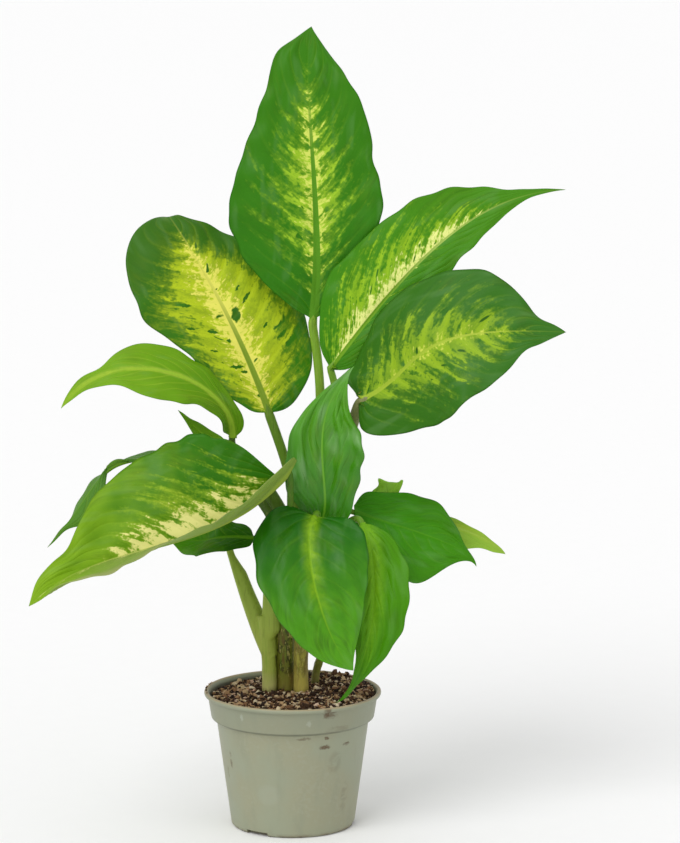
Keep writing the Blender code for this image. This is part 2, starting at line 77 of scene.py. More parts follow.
MM = 0.001
CAD_BOX = [list(corner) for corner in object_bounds()]
POT_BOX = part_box("pot")
SOIL_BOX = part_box("soil")
POT_RADIUS, POT_TOP = POT_BOX[1][0], POT_BOX[1][2]
SOIL_RADIUS, SOIL_TOP = SOIL_BOX[1][0], SOIL_BOX[1][2]
POT_FOOT = 41.8                # mm, radius of the pot's foot
BAND_FOOT = 74.0               # mm, height of the band's lower edge
DRAIN_SLOT = (0.009, 0.017, 0.0052)                    # the box that cuts one: deep, wide and tall
LIP_MIDDLE = 0.0011            # how far inside the pot's widest radius its lip is highest
HEAP_SLOPES = ((0.35, 1.0), (-0.6, 0.7), (-0.8, 0.0))  # ways in which the soil rises, as x and y
SOIL_FACE_DEPTH = 0.016        # how far under its highest point the soil's upper side reaches
LOWEST_CHIP = 0.08             # height below which no chip lies
CANE_DEPTH = 0.004             # how far under the soil's top a cane's colours start
FLOOR_RADIUS = 26.0
FLOOR_DROP = 0.0002            # how far the floor lies under the pot, so that they don't flicker
LIGHT_FROM = (-0.42, -0.62, 0.75)

# Shares of a blade's length at which its outline, and then its light area, are given.
STATIONS = (0.0, 0.04, 0.12, 0.25, 0.4, 0.55, 0.7, 0.85, 0.94, 1.0)
LIGHT_STATIONS = (0.0, 0.1, 0.25, 0.4, 0.55, 0.7, 0.85, 1.0)
NO_LIGHT = (0.0,) * 8
OUTLINE_BLUR = 0.07            # share of a blade's length over which its outline is softened
BLADE_BASE = 2.4               # mm, least half width of a blade where its stalk meets it
EDGE_SWING = 0.45              # mm, unevenness of a blade's edge
SEAT_GAP = 0.5                 # mm, how far before the blade a stalk's middle line ends
RIB_UNDER = 1.1                # mm, how far a stalk's middle lies under the blade's upper side
STALK_END = 2.0                # mm of straight run at a stalk's end
FINE_STEPS = 160               # points along a curve that is walked by its length
DIRECTION_STEP = 0.01          # share of a blade's length over which its direction is taken

# Colours of the light areas, of painted sheen and scars, and of stains, dirt and painted shade.
LIME = (0.42, 0.56, 0.045)
CREAM = (0.7, 0.72, 0.19)
# Pale whitish green laid on glossy blades as painted sheen, a painted highlight.
PAINTED_SHEEN = (0.22, 0.4, 0.16)
RUST = (0.13, 0.065, 0.015)
DASH = (0.5, 0.45, 0.12)
SCAR = (0.1, 0.075, 0.02)
SPLASH = (0.05, 0.03, 0.015)
CHALK = (0.34, 0.355, 0.265)
SCUFF = (0.42, 0.45, 0.38)
# Dark line painted on the ledge under the pot's band: painted shade.
UNDER_BAND_SHADE = (0.1, 0.11, 0.075)
WET_WALL = (0.05, 0.042, 0.028)
DRY_WALL = (0.17, 0.165, 0.12)
FOOT_DIRT = (0.16, 0.12, 0.07)
DRY_PEAT = (0.075, 0.042, 0.022)
GRIT = (0.2, 0.13, 0.075)

Leaf = namedtuple("Leaf", "spine widths turn lift fold droop outline lobe skew wave rows")
Tug = namedtuple("Tug", "half place spread reach pull")
Look = namedtuple(
    "Look",
    "veins sweep relief base tip rib left right comb tear flecks creamy lime cream rib_width"
    " rib_pale glow glow_end lines ripple gloss edge rib_hold sheen marks back ripe",
    defaults=(NO_LIGHT, NO_LIGHT, 0.0, 0.0, 0.0, 0.0, LIME, CREAM, 2.6, 0.0, 0.0, 0.5, 0.3, 0.0, 0.3, None,
              1.0, 0.12, (), 0.7, 0.05),
)
Stalk = namedtuple("Stalk", "leaf points approach foot top sheath sheath_end")
Shoot = namedtuple("Shoot", "cane radii flap stalks")
Bark = namedtuple("Bark", "soil foot middle mottle dashes rings")

# spine: handles of the midrib's curve; widths: half widths; turn, lift: where the upper side faces at
# base and tip; fold: how far the halves rise from the midrib there; droop: how far each half curls back
# down; outline: shares of the half width at the inner stations; lobe: how far the base's corners run
# back; skew: how far the halves slide against each other; wave: height, number and two phases of the
# long waves; rows: faces from base to tip.
LEAVES = {
    "leaf_top": Leaf(
        ((14, 20, 343), (23, 20, 409), (4, 28, 512), (13, 42, 538)), (55, 44),
        (-2, 0), (10, 25), (11, 9), (16, 15),
        (0.25, 0.55, 0.9, 1.0, 0.95, 0.7, 0.45, 0.2), 0.1, -0.04, (2.0, 2.5, 0.4, 2.0), 120),
    "leaf_upper_left": Leaf(
        ((-16, 22, 279), (-43, 32, 357), (-89, 44, 418), (-86, 66, 410)), (51, 49),
        (4, 3), (23, 42), (12, 4), (10, 19),
        (0.2, 0.45, 0.75, 0.95, 1.0, 0.95, 0.6, 0.2), 0.7, 0.12, (1.5, 2.0, 0.0, 1.0), 110),
    "leaf_upper_right": Leaf(
        ((27, 4, 314), (65, 7, 362), (112, 9, 430), (183, 14, 431)), (38, 20),
        (0, -1), (14, 24), (14, 12), (15, 14),
        (0.4, 0.75, 1.0, 1.0, 0.9, 0.6, 0.15, 0.05), 0.0, -0.02, (1.5, 2.0, 0.0, 1.0), 120),
    "leaf_right": Leaf(
        ((48, -12, 293), (91, -28, 319), (71, -40, 348), (180, -46, 343)), (48, 50),
        (-10, 0), (28, 26), (7, 15), (24, 17),
        (0.35, 0.57, 0.79, 0.99, 0.95, 0.75, 0.32, 0.12), 0.7, 0.03, (1.5, 2.0, 0.0, 1.5), 110),
    "leaf_left_arching": Leaf(
        ((-41, 17, 263), (-36, -2, 307), (-122, -10, 338), (-154, -12, 287)), (26, 20),
        (1, 0), (50, 45), (20, 12), (12, 21),
        (0.25, 0.35, 0.7, 1.0, 1.0, 0.55, 0.2, 0.1), 0.0, 0.0, (1.5, 2.0, 0.0, 1.5), 100),
    "leaf_left_long": Leaf(
        ((-8, -28, 243), (-52, -35, 188), (-130, -52, 208), (-171, -80, 167)), (54, 61),
        (-6, -3), (52, 57), (60, 29), (-6, 19),
        (0.5, 0.8, 0.95, 1.0, 1.0, 0.85, 0.25, 0.15), 0.2, 0.1, (2.0, 2.5, 0.5, 2.0), 110),
    "leaf_left_back": Leaf(
        ((-57, 45, 228), (-98, 40, 266), (-134, 25, 227), (-166, 5, 189)), (32, 14),
        (2, 1), (60, 49), (3, 8), (22, 19),
        (0.35, 0.65, 0.95, 1.0, 1.0, 0.85, 0.1, 0.05), 0.4, 0.05, (1.0, 2.0, 0.0, 1.0), 80),
    "leaf_low_left": Leaf(
        ((-26, 5, 196), (-67, 8, 198), (-45, 20, 189), (-85, 40, 188)), (15, 21),
        (11, -9), (50, 40), (10, 13), (29, 29),
        (0.4, 0.6, 0.8, 1.0, 0.95, 0.75, 0.65, 0.3), 0.15, -0.1, (1.0, 2.0, 0.0, 1.0), 60),
    "leaf_left_sliver": Leaf(
        ((-37, 11, 238), (-47, 11, 252), (-62, 10, 268), (-77, 9, 283)), (6.5, 6.0),
        (0, 0), (40, 40), (12, 12), (15, 15),
        (0.5, 0.7, 0.85, 1.0, 0.95, 0.7, 0.35, 0.15), 0.1, 0.0, (0.5, 2.0, 0.0, 1.0), 50),
    "leaf_centre_upright": Leaf(
        ((20, -10, 211), (29, -17, 234), (4, -18, 279), (42, -17, 317)), (25, 27),
        (-1, -1), (10, 25), (20, 15), (16, 14),
        (0.6, 0.75, 0.95, 1.0, 0.9, 0.5, 0.2, 0.05), 0.0, -0.06, (1.5, 2.5, 0.0, 1.0), 100),
    "leaf_centre_hanging": Leaf(
        ((15, -28, 217), (5, -50, 205), (20, -68, 142), (41, -62, 120)), (38, 37),
        (-1, 4), (55, 15), (15, 8), (20, 21),
        (0.5, 0.8, 1.0, 1.0, 0.85, 0.65, 0.4, 0.15), 0.45, 0.02, (1.5, 2.0, 0.0, 1.5), 100),
    "leaf_right_hanging": Leaf(
        ((47, -16, 210), (63, -40, 185), (53, -55, 109), (29, -42, 93)), (22, 17),
        (9, -5), (45, 5), (18, 12), (15, 15),
        (0.3, 0.7, 1.0, 0.95, 0.85, 0.45, 0.1, 0.05), 0.25, 0.04, (1.5, 2.5, 0.0, 1.5), 100),
    "leaf_right_low": Leaf(
        ((42, 10, 213), (86, 4, 200), (122, -2, 191), (124, -4, 178)), (26, 38),
        (0, 4), (34, 34), (9, 7), (26, 21),
        (0.35, 0.6, 0.85, 1.0, 0.95, 0.7, 0.2, 0.05), 0.0, -0.03, (1.5, 2.0, 0.0, 1.5), 90),
    "leaf_right_back": Leaf(
        ((69, 30, 207), (89, 30, 207), (135, 28, 194), (145, 24, 181)), (7, 20),
        (0, 0), (45, 45), (9, 9), (15, 16),
        (0.4, 0.75, 1.0, 1.0, 0.75, 0.35, 0.3, 0.15), 0.4, -0.12, (0.8, 2.0, 0.0, 1.0), 60),
    "leaf_right_stub": Leaf(
        ((56, 22, 209), (62, 26, 218), (62, 29, 218), (72, 29, 230)), (10, 9),
        (0, 0), (35, 35), (8, 8), (15, 15),
        (0.5, 0.7, 0.9, 1.0, 1.0, 0.85, 0.5, 0.15), 0.1, 0.05, (0.5, 1.0, 0.0, 1.0), 40),
}

# Local pulls on a blade's edge: the half, how far along, how wide along, how sharply towards the edge,
# and the move in mm.
TUGS = {
    "leaf_top": (
        (-1, 0.89, 0.05, 1.5, (-4, 0, 3)), (-1, 0.37, 0.1, 2.0, (-4, 0, 0)),
        (1, 0.74, 0.1, 2.0, (3.5, 0, 0)), (1, 0.54, 0.06, 2.0, (-2.5, 0, 0)),
        (1, 0.38, 0.06, 2.0, (2.5, 0, 0)),
    ),
    "leaf_left_long": (
        (-1, 0.03, 0.07, 1.0, (13, -3, 15)), (-1, 0.72, 0.09, 1.5, (0, 0, -2)),
        (1, 0.88, 0.05, 2.0, (-1, 0, 1)), (1, 0.11, 0.05, 2.0, (-1, 0, -2)),
        (1, 0.24, 0.09, 2.0, (0, 0, 3)), (1, 0.68, 0.08, 2.0, (-1, 0, 1.5)),
    ),
    "leaf_upper_left": (
        (1, 1.0, 0.05, 0.0, (3, -2, -3.5)), (-1, 0.88, 0.08, 1.5, (-2, -1, 4)),
        (-1, 0.6, 0.07, 2.0, (-3.5, 0, -1)), (-1, 0.4, 0.1, 2.0, (3.5, 0, 2.5)),
        (1, 0.72, 0.1, 2.0, (0, 0, -2)),
    ),
    "leaf_left_arching": (
        (-1, 0.3, 0.07, 2.0, (0, 0, 3.5)), (-1, 0.56, 0.12, 2.0, (0, -1, -2.5)),
        (1, 0.62, 0.06, 2.0, (0, 0, 2)), (1, 0.4, 0.1, 2.0, (0, 0, -1.5)),
        (1, 0.87, 0.05, 2.0, (-1, 0, 1)), (1, 0.08, 0.08, 1.5, (3, 0, 0)),
    ),
    "leaf_left_back": (
        (1, 0.5, 0.2, 0.0, (-5, 2, 5)), (1, 0.5, 0.2, 1.0, (8, 8, -9)),
        (-1, 0.5, 0.2, 1.0, (-19, 22, 21)),
    ),
    "leaf_left_sliver": (
        (1, 0.45, 0.2, 1.5, (3, 0, 0)),
    ),
    "leaf_upper_right": (
        (-1, 0.62, 0.12, 3.0, (0, -2, 1.5)), (-1, 0.05, 0.09, 1.0, (0, 0, -6)),
        (-1, 0.22, 0.08, 2.0, (-1, 0, 2)), (1, 0.07, 0.1, 1.0, (-2, 0, -5)),
    ),
    "leaf_right": (
        (-1, 0.66, 0.08, 2.0, (2, 0, 2.5)), (1, 0.84, 0.06, 2.0, (0, 0, 3)),
        (-1, 0.88, 0.05, 2.0, (-1, 0, -2.5)), (1, 0.04, 0.08, 1.0, (-4, 0, -1)),
        (-1, 0.04, 0.06, 1.0, (-5, 0, 3)), (1, 0.46, 0.07, 2.0, (2, 0, -1)),
        (1, 0.28, 0.08, 2.0, (-1.5, 0, 0.5)),
    ),
    "leaf_centre_upright": (
        (-1, 0.25, 0.1, 1.5, (-2, -4, 0)), (1, 0.45, 0.12, 1.5, (1.5, -4, 0)),
        (-1, 0.64, 0.12, 1.5, (-3, 0, 0)),
    ),
    "leaf_low_left": (
        (-1, 0.3, 0.12, 1.5, (2, -6, 5)), (-1, 0.6, 0.2, 2.0, (0, 0, -2)),
    ),
    "leaf_right_hanging": (
        (-1, 0.42, 0.18, 2.0, (2.5, 0, 0)),
    ),
    "leaf_right_low": (
        (-1, 0.06, 0.08, 0.8, (-2, 0, 5)), (-1, 0.5, 0.2, 2.0, (0, 0, 2)),
    ),
    "leaf_right_back": (
        (-1, 0.55, 0.25, 1.5, (0, 0, 2.5)),
    ),
    "leaf_right_stub": (
        (1, 0.9, 0.08, 1.0, (3, 0, 5)), (-1, 0.75, 0.06, 1.0, (-3, 0, 3)),
    ),
}

# veins: side veins on each half; sweep: how far along the blade one runs to reach the edge; relief: mm
# between veins; base, tip, rib: greens; left, right: how far out each half's light area reaches; comb:
# how strongly it keeps to the veins; tear, flecks: how broken it is; creamy: how pale; lime, cream: its
# colours; rib_width: mm at the base; rib_pale: how far the midrib turns to cream; glow: half width in mm
# of a light band on the midrib, gone by glow_end; lines: how pale the veins are; ripple: mm height of
# long folds; gloss: 0 dull to 1 wet; edge: colour of one half's edge; rib_hold: how strongly the
# midrib's colour shows; sheen: how much pale painted sheen; marks: dark flecks, as mm across, down, wide and
# tall; back: how far the underside's colour takes over below; ripe: where the base's green first turns.
LOOKS = {
    "leaf_top": Look(
        13, 0.24, 0.5, (0.026, 0.168, 0.001), (0.038, 0.19, 0.002), (0.085, 0.26, 0.008),
        (-0.4, -0.06, 0.22, 0.34, 0.34, 0.2, -0.22, -0.8), (-0.3, 0.02, 0.22, 0.34, 0.32, 0.14, -0.25, -0.8),
        0.3, 1.1, 0.3, 0.62, (0.31, 0.52, 0.02), (0.66, 0.73, 0.13), 6.0, lines=0.14, ripple=0.6),
    "leaf_upper_left": Look(
        12, 0.22, 0.5, (0.034, 0.185, 0.002), (0.038, 0.142, 0.005), (0.19, 0.3, 0.02),
        (0.8, 0.84, 0.84, 0.8, 0.74, 0.52, -0.15, -0.9), (0.2, 0.58, 0.76, 0.8, 0.7, 0.38, -0.2, -0.9),
        0.14, 0.85, 0.3, 0.45, (0.42, 0.54, 0.012), (0.8, 0.76, 0.13), 4.4, 0.7, lines=0.14,
        marks=((5.5, 70, 3.2, 4.6), (-24, 92, 4.4, 1.3), (-15, 67, 3.0, 1.2), (-10, 39, 4.0, 1.3),
               (-6, 33, 2.6, 1.0), (32, 46, 5.0, 1.6), (28, 50, 4.0, 1.2), (17, 78, 3.6, 1.2),
               (15, 86, 2.0, 0.8), (-28, 76, 2.6, 0.9), (20, 57, 2.0, 0.8), (-20, 56, 2.2, 0.8))),
    "leaf_upper_right": Look(
        14, 0.34, 0.45, (0.042, 0.21, 0.001), (0.06, 0.238, 0.004), (0.15, 0.33, 0.01),
        (0.2, 0.56, 0.62, 0.58, 0.46, 0.14, -0.6, -0.9), (-0.4, -0.3, -0.2, -0.2, -0.3, -0.5, -0.8, -0.9),
        0.2, 1.7, 0.5, 0.48, (0.27, 0.48, 0.013), (0.88, 0.9, 0.3), 2.2, 0.3, lines=0.12),
    "leaf_right": Look(
        11, 0.3, 0.5, (0.029, 0.136, 0.003), (0.036, 0.156, 0.01), (0.32, 0.45, 0.03),
        (0.1, 0.36, 0.44, 0.42, 0.38, 0.28, -0.3, -0.8), (0.0, 0.14, 0.34, 0.46, 0.48, 0.34, -0.3, -0.8),
        0.3, 1.35, 0.5, 0.16, (0.26, 0.42, 0.013), (0.6, 0.66, 0.09), 2.6, 0.2, lines=0.26),
    "leaf_left_arching": Look(
        9, 0.45, 0.35, (0.1, 0.27, 0.002), (0.175, 0.37, 0.008), (0.29, 0.48, 0.03),
        glow=2.0, glow_end=0.9, lines=0.35),
    "leaf_left_long": Look(
        13, 0.42, 0.4, (0.03, 0.165, 0.001), (0.215, 0.4, 0.008), (0.3, 0.4, 0.05),
        NO_LIGHT, (-0.3, 0.24, 0.34, 0.38, 0.26, -0.05, -0.7, -0.9),
        0.35, 1.0, 0.1, 1.25, (0.33, 0.48, 0.03), (0.93, 0.86, 0.32), 2.4, 0.2, lines=0.1,
        edge=(0.35, 0.35, 0.15), ripe=0.18),
    "leaf_left_back": Look(
        9, 0.4, 0.3, (0.055, 0.18, 0.01), (0.075, 0.215, 0.012), (0.14, 0.29, 0.015), lines=0.15,
        back=0.1),
    "leaf_low_left": Look(
        8, 0.4, 0.3, (0.021, 0.115, 0.0), (0.05, 0.2, 0.001), (0.08, 0.22, 0.006), lines=0.12,
        gloss=0.0),
    "leaf_left_sliver": Look(
        6, 0.5, 0.15, (0.15, 0.37, 0.008), (0.16, 0.39, 0.008), (0.22, 0.45, 0.02), lines=0.1),
    "leaf_centre_upright": Look(
        7, 0.75, 0.5, (0.036, 0.205, 0.002), (0.08, 0.3, 0.01), (0.13, 0.36, 0.015),
        rib_width=1.2, lines=0.05, ripple=1.5, gloss=1.0, sheen=0.45),
    "leaf_centre_hanging": Look(
        8, 0.35, 0.6, (0.012, 0.13, 0.0), (0.075, 0.29, 0.003), (0.24, 0.46, 0.01),
        rib_width=1.6, glow=5.4, glow_end=0.5, lines=0.09, ripple=0.9, gloss=0.5, lime=(0.23, 0.43, 0.005),
        rib_hold=0.45),
    "leaf_right_hanging": Look(
        8, 0.55, 0.5, (0.066, 0.255, 0.001), (0.046, 0.21, 0.001), (0.15, 0.37, 0.01),
        rib_width=1.4, glow=6.0, glow_end=0.62, lines=0.1, ripple=0.8, lime=(0.19, 0.44, 0.01),
        rib_hold=0.5),
    "leaf_right_low": Look(
        9, 0.6, 0.5, (0.042, 0.245, 0.001), (0.046, 0.225, 0.001), (0.09, 0.31, 0.006),
        rib_width=1.4, lines=0.2, ripple=0.7, rib_hold=0.5, lime=(0.16, 0.42, 0.006)),
    "leaf_right_back": Look(
        7, 0.5, 0.25, (0.23, 0.43, 0.032), (0.29, 0.5, 0.045), (0.38, 0.56, 0.08),
        glow=2.0, glow_end=0.8, lines=0.2),
    "leaf_right_stub": Look(
        5, 0.4, 0.2, (0.24, 0.52, 0.035), (0.29, 0.58, 0.045), (0.32, 0.6, 0.05), lines=0.1),
}

SHOOTS = {
    "shoot_middle": Shoot(
        ((-4, 14, 52), (-4, 14, 100), (-2, 14, 140), (3, 13, 180), (8, 12, 214)),
        (5.4, 5.4, 4.9, 4.2, 3.6), 0.48, (
            Stalk("leaf_top", ((8, 12, 206), (29, 14, 285)), 10, 3.6, 3.1, 0.25, 0.5),
            Stalk("leaf_upper_left", ((3, 13, 180), (8, 19, 215)), 28, 3.6, 3.3, 0.5, 0.6),
            Stalk("leaf_upper_right", ((8, 12, 200), (45, 8, 268)), 3, 3.4, 2.5, 0.25, 0.5),
            Stalk("leaf_right", ((7, 12, 188), (40, 10, 250)), 9, 3.6, 3.8, 0.3, 0.5),
            Stalk("leaf_centre_upright", ((0, 13, 150), (4, 12, 178)), 12, 3.4, 2.5, 0.25, 0.5),
            Stalk("leaf_left_arching", ((0, 14, 165), (-2, 22, 215)), 20, 3.4, 2.4, 2.4, 0.86),
            Stalk("leaf_left_sliver", ((-1, 14, 140), (0, 4, 205)), 14, 2.8, 1.8, 1.6, 0.86),
        )),
    "shoot_front": Shoot(
        ((6, 6, 52), (6, 6, 100), (7, 4, 130), (8, 1, 158)),
        (5.0, 4.7, 4.2, 3.4), 0.2, (
            Stalk("leaf_centre_hanging", ((8, 2, 148), (10, -10, 190)), 14, 3.4, 2.4, 0.25, 0.5),
            Stalk("leaf_right_hanging", ((7, 4, 135), (16, 0, 190)), 14, 3.4, 2.4, 0.25, 0.5),
            Stalk("leaf_left_long", ((8, 1, 150), (-9, -27, 219)), 20, 3.4, 2.2, 0.3, 0.5),
        )),
    "shoot_left": Shoot(
        ((-16, 10, 52), (-16, 10, 100), (-18, 10, 125), (-20, 10, 142)),
        (5.2, 5.0, 4.4, 3.8), 0.0, (
            Stalk("leaf_left_back", ((-15, 10, 112), (-36, 14, 150)), 2, 5.0, 2.0, 1.3, 0.56),
            Stalk("leaf_low_left", ((-18, 10, 124), (-17, 9, 170)), 10, 4.2, 2.2, 1.5, 0.6),
        )),
    "shoot_right": Shoot(
        ((15, 26, 52), (15, 26, 90), (22, 26, 118), (30, 24, 145)),
        (2.8, 2.9, 2.8, 2.6), 0.0, (
            Stalk("leaf_right_low", ((24, 25, 125), (28, 26, 180)), 16, 2.6, 2.0, 0.2, 0.5),
            Stalk("leaf_right_back", ((29, 24, 142), (44, 30, 185)), 16, 2.4, 1.7, 0.2, 0.5),
            Stalk("leaf_right_stub", ((28, 24, 138), (38, 20, 165)), 16, 2.2, 1.7, 0.2, 0.5),
        )),
}

# Colours of a shoot at the soil, at the cane's foot and half way up, then how much dark mottling, how
# many pale dashes and how plain the rings on its cane are.
BARKS = {
    "shoot_middle": Bark((0.26, 0.22, 0.04), (0.165, 0.175, 0.014), (0.085, 0.16, 0.01), 1.1, 1.0, 0.3),
    "shoot_front": Bark((0.54, 0.44, 0.1), (0.43, 0.37, 0.06), (0.19, 0.33, 0.018), 0.75, 0.7, 0.2),
    "shoot_left": Bark((0.56, 0.52, 0.2), (0.34, 0.41, 0.06), (0.3, 0.41, 0.055), 0.12, 0.2, 0.05),
    "shoot_right": Bark((0.28, 0.26, 0.08), (0.2, 0.22, 0.025), (0.16, 0.32, 0.024), 0.4, 0.3, 0.2),
}

# Colour of a stalk where it meets its blade.
NECKS = {
    "leaf_top": (0.19, 0.36, 0.022),
    "leaf_upper_left": (0.105, 0.215, 0.012),
    "leaf_upper_right": (0.15, 0.31, 0.02),
    "leaf_right": (0.21, 0.225, 0.085),
    "leaf_left_long": (0.06, 0.165, 0.004),
    "leaf_left_arching": (0.06, 0.13, 0.008),
    "leaf_left_sliver": (0.055, 0.11, 0.008),
    "leaf_left_back": (0.31, 0.43, 0.055),
    "leaf_low_left": (0.24, 0.36, 0.045),
}
PLAIN_NECK = (0.12, 0.28, 0.015)

# Smudges on the pot: degrees round from the front, mm up, mm wide, mm tall, strength, and whether dark.
SMUDGES = (
    (27, 87, 6, 3.0, 0.9, 1), (24, 91, 3, 4.5, 0.8, 1), (27, 70, 2.6, 1.6, 0.9, 1),
    (26, 63.5, 5.2, 1.7, 1.0, 1), (46, 63.5, 3.8, 1.4, 1.0, 1), (36, 52, 7, 9, 0.34, 1),
    (50, 26, 5, 12, 0.34, 1), (33, 76, 11, 3.0, 0.4, 1), (-58, 50, 1.6, 7, 0.65, 1),
    (-66, 40, 2, 5, 0.4, 1), (9, 70.5, 6, 1.1, 0.7, 1), (-36, 84, 1.6, 2.4, 0.5, 0),
    (12, 82, 1.6, 2.6, 0.4, 0), (-20, 30, 10, 8, 0.15, 0),
)


def length(name, text, value):
    return FloatProperty(name=name, description=text, default=value, min=0.0, unit="LENGTH")


def share(name, text, value):
    return FloatProperty(name=name, description=text, default=value, min=0.0, max=1.0, subtype="FACTOR")


def colour(name, text, value):
    return FloatVectorProperty(name=name, description=text, default=value, size=3, min=0.0, max=1.0,
                               subtype="COLOR")


class LeafSettings(PropertyGroup):
    """Thickness, relief and wear of every blade."""

    thickness: length("Thickness", "Thickness of a blade between its veins", 0.00055)
    margin: length("Margin", "Thickness of a blade at its edge", 0.0003)
    ruffle: length("Ruffle", "Height of the small waves along a blade's edge", 0.0009)
    rib: length("Midrib", "Height of the midrib under a blade's base", 0.0019)
    groove: length("Groove", "Depth of the groove over the midrib", 0.00045)
    columns: IntProperty(name="Columns", description="Faces across each half of a blade", default=28,
                         min=6, max=40)
    underside: colour("Underside", "Colour that the underside fades towards", (0.25, 0.33, 0.08))


class ShootSettings(PropertyGroup):
    """Build of the canes and leaf stalks."""

    grain: length("Grain", "Size of the faces on canes and stalks", 0.0006)
    ring_gap: length("Ring gap", "Distance between the rings on a cane", 0.0125)
    ring_height: length("Ring height", "How far a ring stands out", 0.00025)


class PotSettings(PropertyGroup):
    """Make and wear of the moulded pot."""

    steps: IntProperty(name="Steps", description="Faces round the pot", default=192, min=48, max=360)
    body: colour("Body", "Colour of the plastic", (0.3, 0.322, 0.226))
    lip: colour("Lip", "Colour of the worn lip", (0.4, 0.31, 0.18))
    grime: colour("Grime", "Colour of dried soil on the pot", (0.12, 0.08, 0.045))
    wear: share("Wear", "Amount of dust and dried soil", 0.6)


class SoilSettings(PropertyGroup):
    """Potting mix."""

    chips: IntProperty(name="Chips", description="Number of loose chips on top", default=3200, min=0)
    chip_size: length("Chip size", "Length of a middling chip", 0.0027)
    heap: length("Heap", "How much higher the soil lies at the back", 0.0065)
    seed: IntProperty(name="Seed", description="Seed of the chips' places", default=7, min=0)
    peat: colour("Peat", "Colour of the fine mix", (0.062, 0.03, 0.014))


class StageSettings(PropertyGroup):
    """Floor, lights and camera."""

    floor: colour("Floor", "Colour of the floor", (0.93, 0.93, 0.93))
    sky: FloatProperty(name="Sky", description="Strength of the even light", default=0.78, min=0.0)
    sun: FloatProperty(name="Softbox", description="Strength of the main light", default=1.3, min=0.0)
    spread: FloatProperty(name="Softbox spread", description="How wide the main light looks",
                          default=radians(38), min=0.0, subtype="ANGLE")
    camera: FloatVectorProperty(name="Camera", description="Place of the camera", size=3,
                                default=(0.0321, -2.277, 0.64), subtype="TRANSLATION")
    pitch: FloatProperty(name="Pitch", description="How far the camera looks down",
                         default=radians(9.07), subtype="ANGLE")
    lens: FloatProperty(name="Lens", description="Focal length in millimetres", default=146.9, min=1.0)


class Wire:
    """One socket of a finish, so that sums of sockets are written as Python."""

    def __init__(self, finish, socket):
        self.finish = finish
        self.socket = socket

    def math(self, operation, *values):
        settings = {"operation": operation}
        return self.finish.wire("ShaderNodeMath", settings, dict(enumerate(values)))

    def __add__(self, other):
        return self.math("ADD", self, other)

    def __sub__(self, other):
        return self.math("SUBTRACT", self, other)

    def __rsub__(self, other):
        return self.math("SUBTRACT", other, self)

    def __mul__(self, other):
        return self.math("MULTIPLY", self, other)

    def __truediv__(self, other):
        return self.math("DIVIDE", self, other)

    def __pow__(self, other):
        return self.math("POWER", self, other)

    def __abs__(self):
        return self.math("ABSOLUTE", self)

    __radd__ = __add__
    __rmul__ = __mul__

    def wave(self):
        return self.math("SINE", self)

    def between(self, low, high):
        """0 below low and 1 above high, with a smooth step between; the other way round if high < low."""
        if high < low:
            return 1.0 - self.between(high, low)
        settings = {"interpolation_type": "SMOOTHSTEP"}
        return self.finish.wire("ShaderNodeMapRange", settings, {0: self, 1: low, 2: high})


class Finish:
    """One material, and the tree of nodes that its finish is made of."""

    def __init__(self, name):
        self.material = bpy.data.materials.new(name)
        self.material.use_nodes = True
        self.tree = self.material.node_tree
        self.shader = self.tree.nodes["Principled BSDF"]

    def node(self, kind, settings=None, inputs=None):
        """Any node, with its settings and with what its inputs get."""
        made = self.tree.nodes.new(kind)
        for name, value in (settings or {}).items():
            if name == "stops":
                ramp = made.color_ramp
                while len(ramp.elements) < len(value):
                    ramp.elements.new(0.5)
                for stop, (place, tone) in zip(ramp.elements, value):
                    stop.position = place
                    stop.color = (*tone, 1.0)
            else:
                setattr(made, name, value)
        for name, value in (inputs or {}).items():
            self.plug(value, made.inputs[name])
        return made

    def plug(self, value, socket):
        """Link a wire to a socket, or set the socket's own value."""
        if isinstance(value, Wire):
            self.tree.links.new(value.socket, socket)
        elif socket.type == "RGBA":
            socket.default_value = (*value[:3], 1.0)
        else:
            socket.default_value = value

    def wire(self, kind, settings=None, inputs=None, output=0):
        return Wire(self, self.node(kind, settings, inputs).outputs[output])

    def attribute(self, name, output="Vector"):
        return self.wire("ShaderNodeAttribute", {"attribute_name": name}, output=output)

    def parts(self, vector):
        node = self.node("ShaderNodeSeparateXYZ", None, {0: vector})
        return [Wire(self, socket) for socket in node.outputs]

    def vector(self, x, y, z):
        return self.wire("ShaderNodeCombineXYZ", None, {0: x, 1: y, 2: z})

    def place(self):
        return self.wire("ShaderNodeTexCoord", output="Object")

    def noise(self, place, scale, detail=2.0, roughness=0.5, distortion=0.0):
        """Noise at a place, which is one wire or three."""
        inputs = {"Vector": self.vector(*place) if isinstance(place, tuple) else place, "Scale": scale,
                  "Detail": detail, "Roughness": roughness, "Distortion": distortion}
        return self.wire("ShaderNodeTexNoise", None, inputs)

    def mix(self, first, second, amount):
        inputs = {0: amount, 6: first, 7: second}
        return self.wire("ShaderNodeMix", {"data_type": "RGBA"}, inputs, output=2)

    def layers(self, tone, *coats):
        """A colour with coats laid over it, each a colour and how strongly it shows."""
        for coat, amount in coats:
            tone = self.mix(tone, coat, amount)
        return tone

    def ramp(self, amount, stops):
        return self.wire("ShaderNodeValToRGB", {"stops": stops}, {0: amount})

    def set(self, name, value):
        self.plug(value, self.shader.inputs[name])

    def surface(self, tone, dullness, shine, height, distance, strength):
        """Set the colour, the roughness, the reflections and the fine relief, and give the finish back."""
        self.set("Base Color", tone)
        self.set("Roughness", dullness)
        self.set("Specular IOR Level", shine)
        relief = {"Strength": strength, "Distance": distance, "Height": height}
        self.set("Normal", self.wire("ShaderNodeBump", None, relief))
        return self


def shade(tone, amount):
    """A colour made darker."""
    return tuple(amount * part for part in tone)


def blend(first, second, amount):
    """A colour part of the way from the first to the second."""
    return tuple((1.0 - amount) * a + amount * b for a, b in zip(first, second))


def held(values):
    """The values, held between 0 and 1."""
    return np.clip(values, 0, 1)


